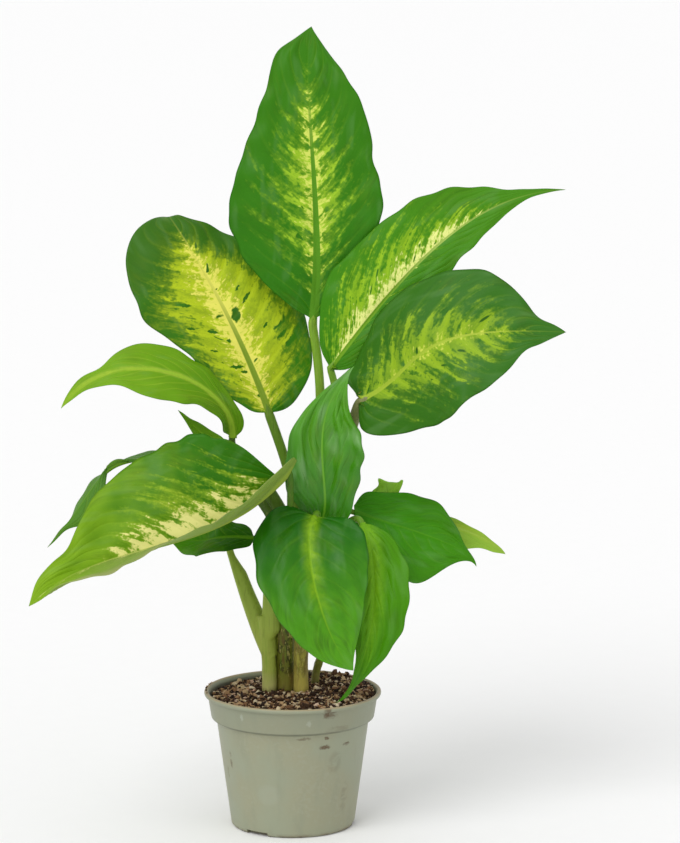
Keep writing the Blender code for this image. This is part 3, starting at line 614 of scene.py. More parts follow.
def bezier(points, amount):
    """Points on the curve with these four handles."""
    a, b, c, d = (np.asarray(point, float) for point in points)
    u = np.asarray(amount, float)[:, None]
    return (1 - u) ** 3 * a + 3 * (1 - u) ** 2 * u * b + 3 * (1 - u) * u * u * c + u ** 3 * d


def along(points, amount):
    """Points at equal shares of the length of a fine line."""
    steps = np.linalg.norm(np.diff(points, axis=0), axis=1)
    run = np.concatenate(([0.0], np.cumsum(steps)))
    run /= run[-1]
    return np.stack([np.interp(amount, run, points[:, axis]) for axis in range(3)], axis=-1)


def spine_line(leaf):
    """Fine points along a blade's midrib, and their length in mm."""
    fine = bezier(leaf.spine, np.linspace(0.0, 1.0, FINE_STEPS))
    return fine, np.linalg.norm(np.diff(fine, axis=0), axis=1).sum()


def unit(vectors):
    return vectors / np.linalg.norm(vectors, axis=-1, keepdims=True)


def smooth_curve(stations, values, amount):
    """A smooth, never overshooting curve through the values at the stations."""
    x = np.asarray(stations)
    y = np.asarray(values)
    run = np.diff(x)
    rise = np.diff(y) / run
    slope = np.zeros_like(y)
    turns = rise[:-1] * rise[1:] > 0
    first = 2 * run[1:] + run[:-1]
    second = run[1:] + 2 * run[:-1]
    middle = np.where(turns, rise[:-1] * rise[1:], 1.0)
    mean = (first + second) * middle / np.where(turns, first * rise[1:] + second * rise[:-1], 1.0)
    slope[1:-1] = np.where(turns, mean, 0.0)
    slope[0] = rise[0]
    slope[-1] = rise[-1]
    k = np.clip(np.searchsorted(x, amount, side="right") - 1, 0, len(run) - 1)
    u = (amount - x[k]) / run[k]
    return (
        (1 + 2 * u) * (1 - u) ** 2 * y[k] + u * (1 - u) ** 2 * run[k] * slope[k]
        + u * u * (3 - 2 * u) * y[k + 1] + u * u * (u - 1) * run[k] * slope[k + 1]
    )


def facing(turn, lift):
    """The way that a side faces, from degrees round from the front and degrees up."""
    turn, lift = radians(turn), radians(lift)
    return np.array([sin(turn) * cos(lift), -cos(turn) * cos(lift), sin(lift)])


def swings(rng, amount, low, high):
    """A run of uneven waves of about unit height, with low to high of them along the whole."""
    total = np.zeros_like(amount)
    for _ in range(5):
        total += np.sin(2 * pi * (rng.uniform(low, high) * amount + rng.uniform(0.0, 1.0)))
    return total / 2.2


def half_width(width, leaf, amount):
    """Half a blade's width, with the outline's corners softened."""
    outline = (0.0, *leaf.outline, 0.0)
    room = np.clip(4 * amount * (1 - amount), 0.1, 1)
    shifts = np.linspace(-OUTLINE_BLUR, OUTLINE_BLUR, 9)
    near = [smooth_curve(STATIONS, outline, held(amount + shift * room)) for shift in shifts]
    return width * sum(near) / len(near)


def blade_surface(name, leaf, t, s, ruffle):
    """The upper side of a blade in mm, and each half's width there: rows run from base to tip."""
    rng = np.random.default_rng(len(name) * 31 + leaf.rows)
    fine, long = spine_line(leaf)
    middle = along(fine, t)
    before = along(fine, held(t - DIRECTION_STEP))
    ahead = unit(along(fine, held(t + DIRECTION_STEP)) - before)
    down = t[:, None]
    up = (1 - down) * facing(leaf.turn[0], leaf.lift[0]) + down * facing(leaf.turn[1], leaf.lift[1])
    up = unit(up - (up * ahead).sum(axis=1, keepdims=True) * ahead)
    side = np.cross(ahead, up)
    slide = leaf.skew * np.sin(pi * t)
    swell = held(6 * t * (1 - t))
    notches = max(long / 34.0, 2.0)
    wide = [half_width(width, leaf, place) + swings(rng, t, notches, 2 * notches) * EDGE_SWING * swell
            for width, place in zip(leaf.widths, (t - slide, t + slide))]
    start = BLADE_BASE * held(1 - t / STATIONS[1])
    blade = np.where(s[None, :] < 0, wide[0][:, None], wide[1][:, None])
    half = np.maximum(blade, start[:, None])
    reach = np.abs(s)[None, :]
    rise = np.radians(leaf.fold[0] + (leaf.fold[1] - leaf.fold[0]) * t)[:, None]
    curl = np.radians(np.where(s < 0, leaf.droop[0], leaf.droop[1]))[None, :]
    angle = rise - curl * reach / 2
    height, count, left_phase, right_phase = leaf.wave
    phase = np.where(s < 0, left_phase, right_phase)[None, :]
    wave = height * reach ** 2 * np.sin(2 * pi * count * t[:, None] + phase) * swell[:, None]
    small = [swings(rng, t, notches, 1.8 * notches)[:, None] for _ in leaf.widths]
    small = np.where(s[None, :] < 0, *small)
    wave += ruffle * small * reach ** 3 * np.clip(half / 25.0, 0.1, 1.0) * swell[:, None]
    out = half * reach * np.cos(angle) * np.sign(s)
    lift = half * reach * np.sin(angle) + wave
    back = -leaf.lobe * blade * reach ** 1.5 * ((1 - t) ** 3)[:, None]
    points = (
        middle[:, None, :] + side[:, None, :] * out[..., None]
        + up[:, None, :] * lift[..., None] + ahead[:, None, :] * back[..., None]
    )
    for tug in map(Tug._make, TUGS.get(name, ())):
        near = np.exp(-((t - tug.place) / tug.spread) ** 2)[:, None]
        near = near * held(s * tug.half) ** tug.reach
        points += near[..., None] * np.array(tug.pull)
    return points, half


def face_normals(points):
    """Unit normals of a grid of points, towards its upper side."""
    down = np.gradient(points, axis=0)
    across = np.gradient(points, axis=1)
    normal = np.cross(across, down)
    size = np.linalg.norm(normal, axis=-1, keepdims=True)
    return normal / np.maximum(size, 1e-9)


def add_attribute(mesh, name, kind, values):
    """A number or a vector noted at every point of a mesh, for its finish."""
    made = mesh.attributes.new(name, kind, "POINT")
    field = "value" if kind == "FLOAT" else "vector"
    made.data.foreach_set(field, np.ascontiguousarray(values, np.float32).ravel())


def new_object(name, data):
    """An object in the scene with its data."""
    made = bpy.data.objects.new(name, data)
    bpy.context.scene.collection.objects.link(made)
    return made


def modify(thing, name, kind, **settings):
    """Add a modifier with its settings."""
    added = thing.modifiers.new(name, kind)
    for setting, value in settings.items():
        setattr(added, setting, value)


def modified_mesh(thing, name):
    """The mesh that an object's modifiers make of it."""
    bpy.context.view_layer.update()
    graph = bpy.context.evaluated_depsgraph_get()
    made = bpy.data.meshes.new_from_object(thing.evaluated_get(graph), depsgraph=graph)
    made.name = name
    return made


def new_piece(name, mesh, finish, nodes=()):
    """An object that rides on the plant's one body, and stands for the solids named."""
    piece = new_object(name, mesh)
    mesh.materials.clear()
    mesh.materials.append(finish.material)
    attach(piece, "root")
    if nodes:
        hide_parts(*nodes)
    return piece


def quads(a, b, c, d):
    """Faces with their corners in four grids of vertex numbers."""
    return np.stack((a.ravel(), b.ravel(), c.ravel(), d.ravel()), axis=-1).tolist()


def sheet_parts(upper, lower, tip):
    """Vertices and faces of a closed sheet between two grids of points, drawn together at the tip."""
    rows, columns, _ = upper.shape
    flat = (rows - 1) * columns
    verts = np.concatenate((upper[:-1].reshape(-1, 3), lower[:-1].reshape(-1, 3), tip[None]))
    index = np.arange(flat).reshape(rows - 1, columns)
    low = index + flat
    last = 2 * flat
    faces = quads(index[:-1, :-1], index[:-1, 1:], index[1:, 1:], index[1:, :-1])
    faces += quads(low[:-1, :-1], low[1:, :-1], low[1:, 1:], low[:-1, 1:])
    faces += quads(index[:-1, 0], index[1:, 0], low[1:, 0], low[:-1, 0])
    faces += quads(index[:-1, -1], low[:-1, -1], low[1:, -1], index[1:, -1])
    faces += quads(index[0, :-1], low[0, :-1], low[0, 1:], index[0, 1:])
    faces += [(a, b, last) for a, b in zip(index[-1, :-1], index[-1, 1:])]
    faces += [(b, a, last) for a, b in zip(low[-1, :-1], low[-1, 1:])]
    faces += [(low[-1, 0], index[-1, 0], last), (index[-1, -1], low[-1, -1], last)]
    return verts, faces


def blade_mesh(name, leaf, look, neck, settings):
    """A closed blade with veins raised under it, sunk over it, and the places its finish needs."""
    t = np.linspace(0.0, 1.0, leaf.rows + 1) ** 1.15
    reach = np.linspace(0.0, 1.0, settings.columns + 1) ** 1.2
    s = np.concatenate((-reach[:0:-1], reach))
    points, half = blade_surface(name, leaf, t, s, settings.ruffle / MM)
    normals = face_normals(points)
    _, long = spine_line(leaf)
    far = np.abs(s)[None, :] + 0.0 * t[:, None]
    down = t[:, None] + 0.0 * far
    across = half * far
    sign = np.sign(s)[None, :] + 0.0 * down
    vein = look.veins * (down - look.sweep * far ** 1.35)
    ridge = np.abs(np.sin(pi * vein)) ** 0.8
    open_field = held(across / 6.0) * held((1.0 - far) / 0.3)
    thin = np.clip(half / 12.0, 0.1, 1.0)
    top = look.relief * (ridge - 0.5) * open_field * thin
    crimp = np.random.default_rng(len(name) * 17 + leaf.rows)
    for _ in range(6):
        along_waves, across_waves = crimp.uniform(1.0, 4.5), crimp.uniform(-1.6, 1.6)
        shift = crimp.uniform(0, 2 * pi)
        swing = np.sin(2 * pi * (along_waves * down + across_waves * s[None, :]) + shift)
        top += 0.32 * swing * held(across / 10.0) * thin
    fold = np.sin(2 * pi * (2.3 * far + 0.22 * np.sin(2 * pi * 1.3 * down + sign) + 0.3 * sign))
    top += look.ripple * fold * held(across / 7.0) * np.sin(pi * down) * thin
    rib = np.clip(1.0 - 0.85 * down, 0.12, 1.0)
    swollen = np.exp(-down * long / 13.0)
    groove_width = 0.6 + 0.7 * rib
    top -= settings.groove / MM * rib * (1.0 - swollen) * np.exp(-(across / groove_width) ** 2)
    top *= held(down * 40) * held((1.0 - down) * 12)
    top += 0.5 * neck * swollen * np.exp(-(across / (0.75 * neck)) ** 2)
    web = settings.thickness / MM
    edge = settings.margin / MM
    under = web - (web - edge) * held((far - 0.75) / 0.25) ** 2
    under += settings.rib / MM * rib * np.exp(-(across / (0.8 + 1.1 * rib)) ** 2)
    under += 0.35 * look.relief * (1.0 - ridge) ** 3 * open_field * thin
    under *= np.clip((1.0 - down) * 14, 0.35, 1)
    under += 1.35 * neck * swollen * np.exp(-(across / (0.85 * neck)) ** 2)
    upper = points + normals * top[..., None]
    lower = upper - normals * under[..., None]
    verts, faces = sheet_parts(upper, lower, points[-1].mean(axis=0))
    mesh = bpy.data.meshes.new(name)
    mesh.from_pydata((verts * MM).tolist(), [], faces)

    def spread(grid, tip_value):
        own = grid[:-1].ravel()
        return np.concatenate((own, own, [tip_value]))

    light = np.where(
        sign < 0,
        smooth_curve(LIGHT_STATIONS, look.left, t)[:, None],
        smooth_curve(LIGHT_STATIONS, look.right, t)[:, None],
    ) - far
    flat = len(verts) // 2
    faced = np.concatenate((np.ones(flat), np.zeros(flat), [0.5]))
    place = np.stack((spread(across * sign, 0.0), spread(down * long, long), spread(far, 0.0)), axis=-1)
    run = np.stack((spread(vein, look.veins), spread(down, 1.0), faced), axis=-1)
    add_attribute(mesh, "place", "FLOAT_VECTOR", place)
    add_attribute(mesh, "run", "FLOAT_VECTOR", run)
    add_attribute(mesh, "light", "FLOAT", spread(light, 0.0))
    mesh.validate()
    mesh.shade_smooth()
    return mesh


def leaf_finish(name, look, settings, seed):
    """Green to lime to cream along the side veins, dull below and glossy above."""
    finish = Finish(name)
    across, down, reach = finish.parts(finish.attribute("place"))
    vein, share_along, faced = finish.parts(finish.attribute("run"))
    light = finish.attribute("light", "Fac")
    side = across.between(-0.01, 0.01)
    far = abs(across)

    def streaks(width, run, shift, detail=2.0):
        return finish.noise((vein / width + side * 31.0, far / run, seed + shift), 1.0, detail, 0.6, 0.35)

    patch = streaks(0.8, 20.0, 0.0)
    streak = streaks(0.3, 9.0, 3.0)
    thread = streaks(0.14, 4.0, 5.0)
    mottle = finish.noise((across, down, seed), 0.05, 2.0)
    blotch = finish.noise((across, down, seed + 2.0), 0.34, 2.0, 0.6)
    sheen_spots = finish.noise((across * 2.2, down * 0.6, seed + 7.0), 0.07, 1.0)
    pores = finish.noise((across, down, seed), 2.6, 2.0)
    ridge = abs((vein * pi).wave())
    line = (ridge + (streak - 0.5) * 0.5).between(0.45, 0.0)
    line = line * far.between(0.6, 3.0) * reach.between(1.0, 0.45)
    deep = shade(look.base, 0.55)
    bright = blend(look.tip, look.lime, 0.5)
    face = finish.layers(
        look.base,
        (look.tip, (share_along + (mottle - 0.5) * 0.6).between(look.ripe, 0.9)),
        (deep, (streak * 0.3 + patch * 0.2 + mottle * 0.5).between(0.48, 0.7) * 0.6),
        (bright, (mottle * 0.5 + patch * 0.5).between(0.48, 0.72) * 0.18),
        # Painted sheen: pale patches standing in for highlights on the glossy blades.
        (PAINTED_SHEEN, sheen_spots.between(0.52, 0.75) * look.sheen),
        (bright, line * look.lines),
    )
    if look.tear:
        comb = ((vein + (patch - 0.5) * 1.1 + (streak - 0.5) * 0.3) * (2 * pi) + pi / 2).wave()
        field = light * 2.3 + comb * look.comb + (patch - 0.5) * (1.5 * look.tear)
        field = field + (streak - 0.5) * (2.2 * look.tear) + (blotch - 0.5) * (1.6 * look.tear)
        field = field + (thread - 0.5) * 1.2
        limit = 0.72 - 0.14 * look.flecks
        hold = streaks(0.5, 8.0, 9.0, 1.5).between(limit, limit + 0.06)
        for place, run, wide, tall in look.marks:
            a = (across + (thread - 0.5) * 5.0 - place) / wide
            b = (down - far * 0.6 + (blotch - 0.5) * 3.0 - run + abs(place) * 0.6) / tall
            hold = hold.math("MAXIMUM", hold, (a * a + b * b).between(1.3, 0.7))
        open_part = 1.0 - hold
        mask = field.between(0.0, 0.55) * open_part
        dim = blend(look.tip, look.lime, 0.4)
        fine = thread * 0.35 + blotch * 0.25 + patch * 0.25 + ridge * 0.15
        pale = light * 1.1 + comb * (0.4 * look.comb) + (thread - 0.5) * 1.8 + (streak - 0.5) * 1.4
        pale = pale + (blotch - 0.5) * 1.4
        face = finish.layers(
            face,
            (dim, field.between(-0.7, 0.25) * open_part * 0.65),
            (finish.mix(look.lime, dim, fine.between(0.45, 0.64) * 0.65), mask),
            (look.cream, (pale - far * 0.04 + look.creamy).between(0.5, 1.0) * mask * 0.92),
            (deep, hold * field.between(-0.1, 0.5) * 0.55),
        )
    if look.glow:
        band = (far + (patch - 0.5) * look.glow + side * (look.glow * 0.3)).between(look.glow * 1.8, 0.0)
        band = band * (share_along + (patch - 0.5) * 0.6).between(look.glow_end + 0.3, look.glow_end - 0.4)
        face = finish.mix(face, look.lime, band * (blotch * 1.1 + streak * 0.6))
    rib_half = (1.0 - share_along) ** 1.4 * (look.rib_width * 0.5) + 0.32
    rib = (far - rib_half).between(0.3, -0.25) * (share_along.between(0.95, 0.5) * 0.9 + 0.1)
    rib_tone = finish.mix(look.rib, look.cream, share_along.between(0.25, 0.6) * look.rib_pale)
    face = finish.layers(face, (rib_tone, rib * look.rib_hold), (deep, reach.between(0.97, 1.0) * 0.3))
    if look.edge:
        half = 1.0 - side
        worn = (reach + (streak - 0.5) * 0.3).between(0.55, 1.0) * half * 0.7
        face = finish.layers(
            face,
            (settings.underside, half * share_along.between(0.95, 0.6) * 0.7),
            (look.edge, worn * share_along.between(1.0, 0.8)),
        )
    under = finish.layers(
        look.tip,
        (settings.underside, look.back),
        (look.lime, line * 0.3),
        (look.rib, (far - rib_half * 1.3).between(0.4, -0.2)),
        (look.base, (mottle - 0.35).between(0.0, 0.6) * 0.3),
    )
    tone = finish.mix(under, face, faced.between(0.35, 0.65))
    dull = (1.0 - faced) * 0.22 + (0.5 - 0.16 * look.gloss)
    dull = dull + (mottle - 0.5) * 0.14 + (thread - 0.5) * 0.08
    height = pores * 0.25 + line * -0.6 + thread * 0.5 + streak * 0.5
    return finish.surface(tone, dull, 0.04 + 0.34 * look.gloss, height, 0.00035, 0.7)


def tube_parts(points, radii):
    """Vertices and faces of a closed tube through the points, kept from twisting: radii has a row for
    each point and a column for each side, and the first quarter turn leads to the tube's front."""
    count, sides = radii.shape
    ahead = unit(np.gradient(points, axis=0))
    up = np.zeros_like(points)
    start = np.array([0.0, -1.0, 0.2])
    up[0] = unit(start - (start @ ahead[0]) * ahead[0])
    for i in range(1, count):
        up[i] = unit(up[i - 1] - (up[i - 1] @ ahead[i]) * ahead[i])
    side = np.cross(ahead, up)
    turn = np.linspace(0.0, 2 * pi, sides, endpoint=False)
    rings = (
        points[:, None, :]
        + side[:, None, :] * (np.cos(turn)[None, :] * radii)[..., None]
        + up[:, None, :] * (np.sin(turn)[None, :] * radii)[..., None]
    )
    index = np.arange(count * sides).reshape(count, sides)
    after = np.roll(index, -1, axis=1)
    faces = quads(index[:-1], after[:-1], after[1:], index[1:])
    return rings.reshape(-1, 3), [*faces, index[0, ::-1].tolist(), index[-1].tolist()]


def stalk_line(stalk):
    """Middle line of a leaf stalk, which runs on into the blade as its midrib."""
    leaf = LEAVES[stalk.leaf]
    base, near = bezier(leaf.spine, np.array([0.0, 0.02]))
    ahead = unit(near - base)
    up = facing(leaf.turn[0], leaf.lift[0])
    under = unit(up - (up @ ahead) * ahead) * RIB_UNDER
    end = base - under - ahead * SEAT_GAP
    straight = end - ahead * STALK_END
    handles = (*stalk.points, end - ahead * stalk.approach, straight)
    points = bezier(handles, np.linspace(0.0, 1.0, FINE_STEPS))
    inside = bezier(leaf.spine, np.array([0.01, 0.025, 0.045])) - under
    return np.vstack((along(points, np.linspace(0.0, 1.0, 60)), inside))


def stalk_radii(stalk, count, turn):
    """Round where it meets the cane, sheathed on its inner side, and grooved along its front above."""
    share = np.linspace(0.0, 1.0, count)
    inner = 1.0 if LEAVES[stalk.leaf].spine[0][0] < stalk.points[0][0] else -1.0
    radii = stalk.top + (stalk.foot - stalk.top) * (1.0 - share) ** 2
    radii[-3:] *= (0.85, 0.65, 0.4)
    sheath = held(share / 0.1) * held((stalk.sheath_end - share) / 0.1)
    groove = 0.16 * held(share * 3 - 0.6) * held((1 - share) * 8)
    shape = 1.0 + stalk.sheath * sheath[:, None] * (held(inner * np.cos(turn)) ** 2)[None, :]
    shape -= groove[:, None] * np.exp(-((turn - pi / 2) / 0.5) ** 2)[None, :]
    return radii[:, None] * shape


def cane_tube(name, shoot, turn, settings):
    """Middle line and radii of a cane, ringed, a little uneven and with its dry leaf bases."""
    rng = np.random.default_rng(len(name))
    own = np.asarray(shoot.cane, float)
    amount = np.linspace(0.0, 1.0, 120)
    stations = np.linspace(0.0, 1.0, len(own))
    points = np.stack([smooth_curve(stations, own[:, axis], amount) for axis in range(3)], axis=-1)
    gap = settings.ring_gap / MM
    ring = np.exp(-(((points[:, 2] + 0.18 * gap) % gap - gap / 2) / 0.9) ** 2)
    radii = np.interp(amount, stations, shoot.radii) + ring * settings.ring_height / MM
    uneven = sum(
        np.sin(count * turn[None, :] + rng.uniform(0, 2 * pi) + rng.uniform(3, 9) * amount[:, None])
        for count in (1, 2, 3)
    )
    bulb = 0.1 * np.exp(-((points[:, 2] - own[0][2] - 8.0) / 9.0) ** 2)
    dry = held((points[:, 2] - own[0][2]) / 6) * held((own[3][2] - 18 - points[:, 2]) / 10)
    dry *= 1.0 + 1.3 * held((points[:, 2] - own[1][2] - 5) / 40)
    dry = shoot.flap * dry[:, None] * np.exp(-((turn - pi) / 0.75) ** 2)[None, :]
    return points, radii[:, None] * (1.0 + 0.028 * uneven + bulb[:, None] + dry)


def shoot_mesh(name, shoot, settings):
    """Cane and stalks grown together, with a note of what grows where."""
    turn = np.linspace(0.0, 2 * pi, 24, endpoint=False)
    lines = [(*cane_tube(name, shoot, turn, settings), PLAIN_NECK)]
    for stalk in shoot.stalks:
        line = stalk_line(stalk)
        neck = NECKS.get(stalk.leaf, PLAIN_NECK)
        lines.append((line, stalk_radii(stalk, len(line), turn), neck))
    mesh = bpy.data.meshes.new(name)
    verts, faces = [], []
    for points, radii, _ in lines:
        own_verts, own_faces = tube_parts(points, radii)
        shift = len(verts)
        verts += (own_verts * MM).tolist()
        faces += [tuple(shift + corner for corner in face) for face in own_faces]
    mesh.from_pydata(verts, [], faces)
    rough = new_object(f"{name}_rough", mesh)
    modify(rough, "blend", "REMESH", mode="VOXEL", voxel_size=settings.grain)
    modify(rough, "soften", "SMOOTH", factor=0.5, iterations=5)
    made = modified_mesh(rough, name)
    bpy.data.objects.remove(rough, do_unlink=True)

    centre = np.concatenate([points for points, _, _ in lines])
    amount = np.concatenate([np.linspace(0.0, 1.0, len(points)) for points, _, _ in lines])
    kind = np.concatenate([np.full(len(line[0]), number) for number, line in enumerate(lines)])
    tree = KDTree(len(centre))
    for i, point in enumerate(centre):
        tree.insert(point * MM, i)
    tree.balance()
    nearest = np.array([tree.find(vertex.co)[1] for vertex in made.vertices])
    cane = (kind[nearest] == 0).astype(float)
    add_attribute(made, "growth", "FLOAT_VECTOR", np.stack((amount[nearest], cane, 0 * cane), axis=-1))
    necks = np.array([neck for _, _, neck in lines])
    add_attribute(made, "neck", "FLOAT_VECTOR", necks[kind[nearest]])
    made.shade_smooth()
    return made


def shoot_finish(name, bark, low, gap):
    """Pale at the soil, mottled and ringed up the cane, and plain green towards the blades."""
    finish = Finish(name)
    x, y, z = finish.parts(finish.place())
    grown, cane, _ = finish.parts(finish.attribute("growth"))
    neck = finish.attribute("neck", "Color")
    leafward = grown.between(0.1, 0.9) * (1.0 - cane)
    soft = finish.noise((x, y, z * 0.35), 300.0, 4.0, 0.65)
    rust = finish.noise((x + 0.3, y, z * 0.3), 120.0, 2.0)
    dash = finish.noise((x * 1.5, y * 1.5, z * 0.5), 420.0, 3.0, 0.6)
    fibre = finish.noise((x, y, z * 0.06), 800.0, 2.0)
    dark = shade(bark.foot, 0.28)
    mottled = (soft + (cane - 1.0) * 0.1).between(0.49, 0.57) * bark.mottle * (1.0 - leafward)
    ring = ((z / MM + 0.18 * gap) * (pi / gap)).wave()
    scar = abs(ring).between(0.985, 1.0) * cane * bark.rings
    tone = finish.layers(
        bark.foot,
        (bark.middle, ((z - low) / 0.12).between(0.1, 0.75)),
        (neck, leafward),
        (dark, mottled * 0.85),
        (RUST, rust.between(0.54, 0.64) * bark.mottle * cane * 0.7),
        (DASH, dash.between(0.55, 0.66) * (0.15 + cane * 0.85) * bark.dashes * 0.8),
        (neck, (fibre - 0.5).between(0.0, 0.3) * 0.4),
        (dark, (0.5 - fibre).between(0.02, 0.25) * 0.35),
        (SCAR, scar * 0.7),
        (bark.soil, z.between(low + 0.02, low + 0.003) * (0.4 + soft * 0.7)),
        (SPLASH, z.between(low + 0.008, low) * soft.between(0.35, 0.6) * 0.8),
    )
    dull = 0.46 + (soft - 0.5) * 0.2 + (fibre - 0.5) * 0.1
    return finish.surface(tone, dull, 0.25, fibre * 0.6 + soft * 0.5 - scar * 1.2, 0.0004, 0.6)


def pot_profile():
    """Outer and inner lines of the pot in mm, from the middle of the floor, over the lip, to the foot."""
    top = POT_TOP / MM
    rim = POT_RADIUS / MM
    lip = top - 3.2
    return [
        (0.0, 1.3), (38.8, 1.3), (40.2, 1.6), (40.9, 2.6),
        (50.1, 71.4), (50.4, 72.4), (53.2, 74.6), (53.9, 75.6),
        (56.2, 89.4), (56.6, 90.6), (57.3, 91.8), (57.9, top - 0.2), (58.6, top),
        (rim - 0.8, top - 0.1), (rim - 0.25, top - 0.5), (rim, top - 1.2), (rim - 0.05, lip + 1.0),
        (rim - 0.4, lip + 0.35), (rim - 1.2, lip + 0.1), (57.8, lip - 0.1), (57.5, lip - 0.6),
        (55.4, BAND_FOOT + 1.4), (55.1, BAND_FOOT + 0.5), (54.5, BAND_FOOT), (52.5, BAND_FOOT - 1.0),
        (51.9, BAND_FOOT - 1.5), (51.5, BAND_FOOT - 2.4),
        (POT_FOOT + 0.25, 1.9), (POT_FOOT + 0.1, 1.0), (POT_FOOT - 0.4, 0.35), (POT_FOOT - 1.3, 0.0),
        (0.0, 0.0),
    ]


def pot_mesh(settings):
    """The pot turned from its profile, with three drain slots cut through its foot."""
    mesh = bpy.data.meshes.new("pot_turned")
    profile = [(radius * MM, 0.0, height * MM) for radius, height in pot_profile()]
    mesh.from_pydata(profile, [(i, i + 1) for i in range(len(profile) - 1)], [])
    turned = new_object("pot_turned", mesh)
    modify(turned, "turn", "SCREW", steps=settings.steps, render_steps=settings.steps,
           use_merge_vertices=True, merge_threshold=0.00001)
    cutters = []
    for number in range(3):
        turn = radians(-125.0 + 120.0 * number)
        bpy.ops.mesh.primitive_cube_add(size=1.0)
        slot = bpy.context.active_object
        slot.scale = DRAIN_SLOT
        slot.location = (POT_FOOT * MM * cos(turn), POT_FOOT * MM * sin(turn), 0.0)
        slot.rotation_euler = (0.0, 0.0, turn)
        modify(slot, "round", "BEVEL", width=0.0006, segments=3)
        modify(turned, "slot", "BOOLEAN", operation="DIFFERENCE", solver="EXACT", object=slot)
        cutters.append(slot)
    made = modified_mesh(turned, "nursery_pot")
    for thing in (*cutters, turned):
        bpy.data.objects.remove(thing, do_unlink=True)
    made.shade_smooth()
    made.set_sharp_from_angle(angle=radians(50))
    return made


def smudge(turn, height, degrees, up, wide, tall, strength):
    """How strongly a soft-edged mark shows at a place on the pot's outside."""
    across = (turn - radians(degrees)) * (54.0 / wide)
    down = (height - up) / tall
    return (across * across + down * down).between(1.3, 0.25) * strength


def pot_finish(settings):
    """Grey-green moulded plastic, worn pale at the lip, with dust, dried soil and painted shade under the
    band.
    """
    finish = Finish("pot_plastic")
    place = finish.place()
    x, y, z = finish.parts(place)
    height = z / MM
    top = POT_TOP / MM
    ragged = finish.noise(place, 330.0, 3.0, 0.65)
    cloud = finish.noise(place, 26.0, 3.0, 0.55)
    fine = finish.noise(place, 420.0, 2.0)
    flow = finish.noise((x, y, z * 0.25), 90.0, 3.0, 0.6)
    dusty = finish.noise((x, y, z * 2.2), 75.0, 4.0, 0.65, 0.6)
    turn = x.math("ARCTAN2", x, y * -1.0) + (ragged - 0.5) * 0.09
    mark = dusty.between(0.68, 0.74) * finish.noise(place, 14.0, 1.0).between(0.5, 0.62) * settings.wear
    scuffs = []
    for *spot, dark in SMUDGES:
        shown = smudge(turn, height + (ragged - 0.5) * 4.0, *spot) * (settings.wear * 1.4)
        if dark:
            mark = mark + shown * dusty.between(0.3, 0.55)
        else:
            scuffs.append((SCUFF, shown))
    mark = mark.between(0.0, 1.0)
    warm = tuple(part * tint for part, tint in zip(settings.body, (1.04, 0.97, 0.92)))
    band = height.between(73.8, 74.8) * height.between(top - 0.6, top - 2.2)
    # Where the painted shade lies: the ledge under the band.
    ledge_shade = height.between(72.2, 73.4) * height.between(75.2, 74.2)
    lip = (height + (flow - 0.5) * 1.2).between(top - 1.0, top - 0.35)
    wall = height * 0.1343 + 41.1 + height.between(71.5, 75.5) * 3.2
    inner = (((x * x + y * y) ** 0.5) / MM - wall).between(0.2, -0.3) * height.between(3.0, 4.0)
    tone = finish.layers(
        settings.body,
        (warm, cloud.between(0.35, 0.65)),
        (shade(settings.body, 0.86), flow.between(0.48, 0.75) * 0.5),
        (CHALK, (fine * cloud).between(0.28, 0.42) * 0.3),
        (shade(settings.body, 0.75), band * 0.45),
        # Painted shade: a dark line on the ledge under the band.
        (UNDER_BAND_SHADE, ledge_shade * (0.35 + flow * 0.5)),
        *scuffs,
        (settings.grime, mark),
        (settings.lip, lip * (0.5 + flow * 0.5)),
        (finish.mix(WET_WALL, DRY_WALL, (height + cloud * 12.0).between(92.0, 100.0)),
         inner * height.between(top, top - 1.5)),
        (FOOT_DIRT, height.between(3.0, 0.2) * dusty.between(0.35, 0.65) * 0.8),
    )
    dull = 0.48 + (cloud - 0.5) * 0.18 + mark * 0.3 + (fine - 0.5) * 0.1
    return finish.surface(tone, dull, 0.3, fine * 0.35 + flow * 0.5 + mark * 0.8, 0.00025, 0.5)


def heaped(settings, x, y):
    """How much higher the soil lies at the back and along its left side."""
    return settings.heap * max(0.0, *(a * x + b * y for a, b in HEAP_SLOPES)) / SOIL_RADIUS


def soil_mesh(settings):
    """The packed soil with its top made finer and crumbled."""
    mesh = bpy.data.meshes.new("potting_soil")
    work = bmesh.new()
    work.from_mesh(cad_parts["soil"].data)
    bmesh.ops.remove_doubles(work, verts=work.verts, dist=0.00002)
    low = SOIL_TOP - SOIL_FACE_DEPTH
    work.normal_update()
    top = [face for face in work.faces if face.normal.z > 0.5 and face.calc_center_median().z > low]
    bmesh.ops.subdivide_edges(work, edges=list({edge for face in top for edge in face.edges}), cuts=3,
                              use_grid_fill=True)
    work.normal_update()
    for vertex in work.verts:
        flat = [face.normal.z > 0.5 for face in vertex.link_faces]
        if vertex.co.z > low and flat and all(flat):
            x, y = vertex.co.x, vertex.co.y
            crumb = noise.noise(Vector((x * 420, y * 420, 1.0)))
            crumb += 0.6 * noise.noise(Vector((x * 1100, y * 1100, 4.0)))
            vertex.co.z += 0.0007 * crumb + heaped(settings, x, y)
    work.to_mesh(mesh)
    work.free()
    mesh.shade_smooth()
    return mesh


def soil_finish(settings):
    """Dark crumbly peat with lighter grit in it."""
    finish = Finish("potting_soil")
    place = finish.place()
    lump = finish.noise(place, 240.0, 4.0, 0.7)
    grit = finish.noise(place, 900.0, 2.0, 0.6)
    tone = finish.layers(settings.peat, (DRY_PEAT, lump.between(0.4, 0.7)), (GRIT, grit.between(0.62, 0.7)))
    return finish.surface(tone, 0.85 + (lump - 0.5) * 0.2, 0.15, lump * 0.7 + grit * 0.5, 0.0012, 0.9)


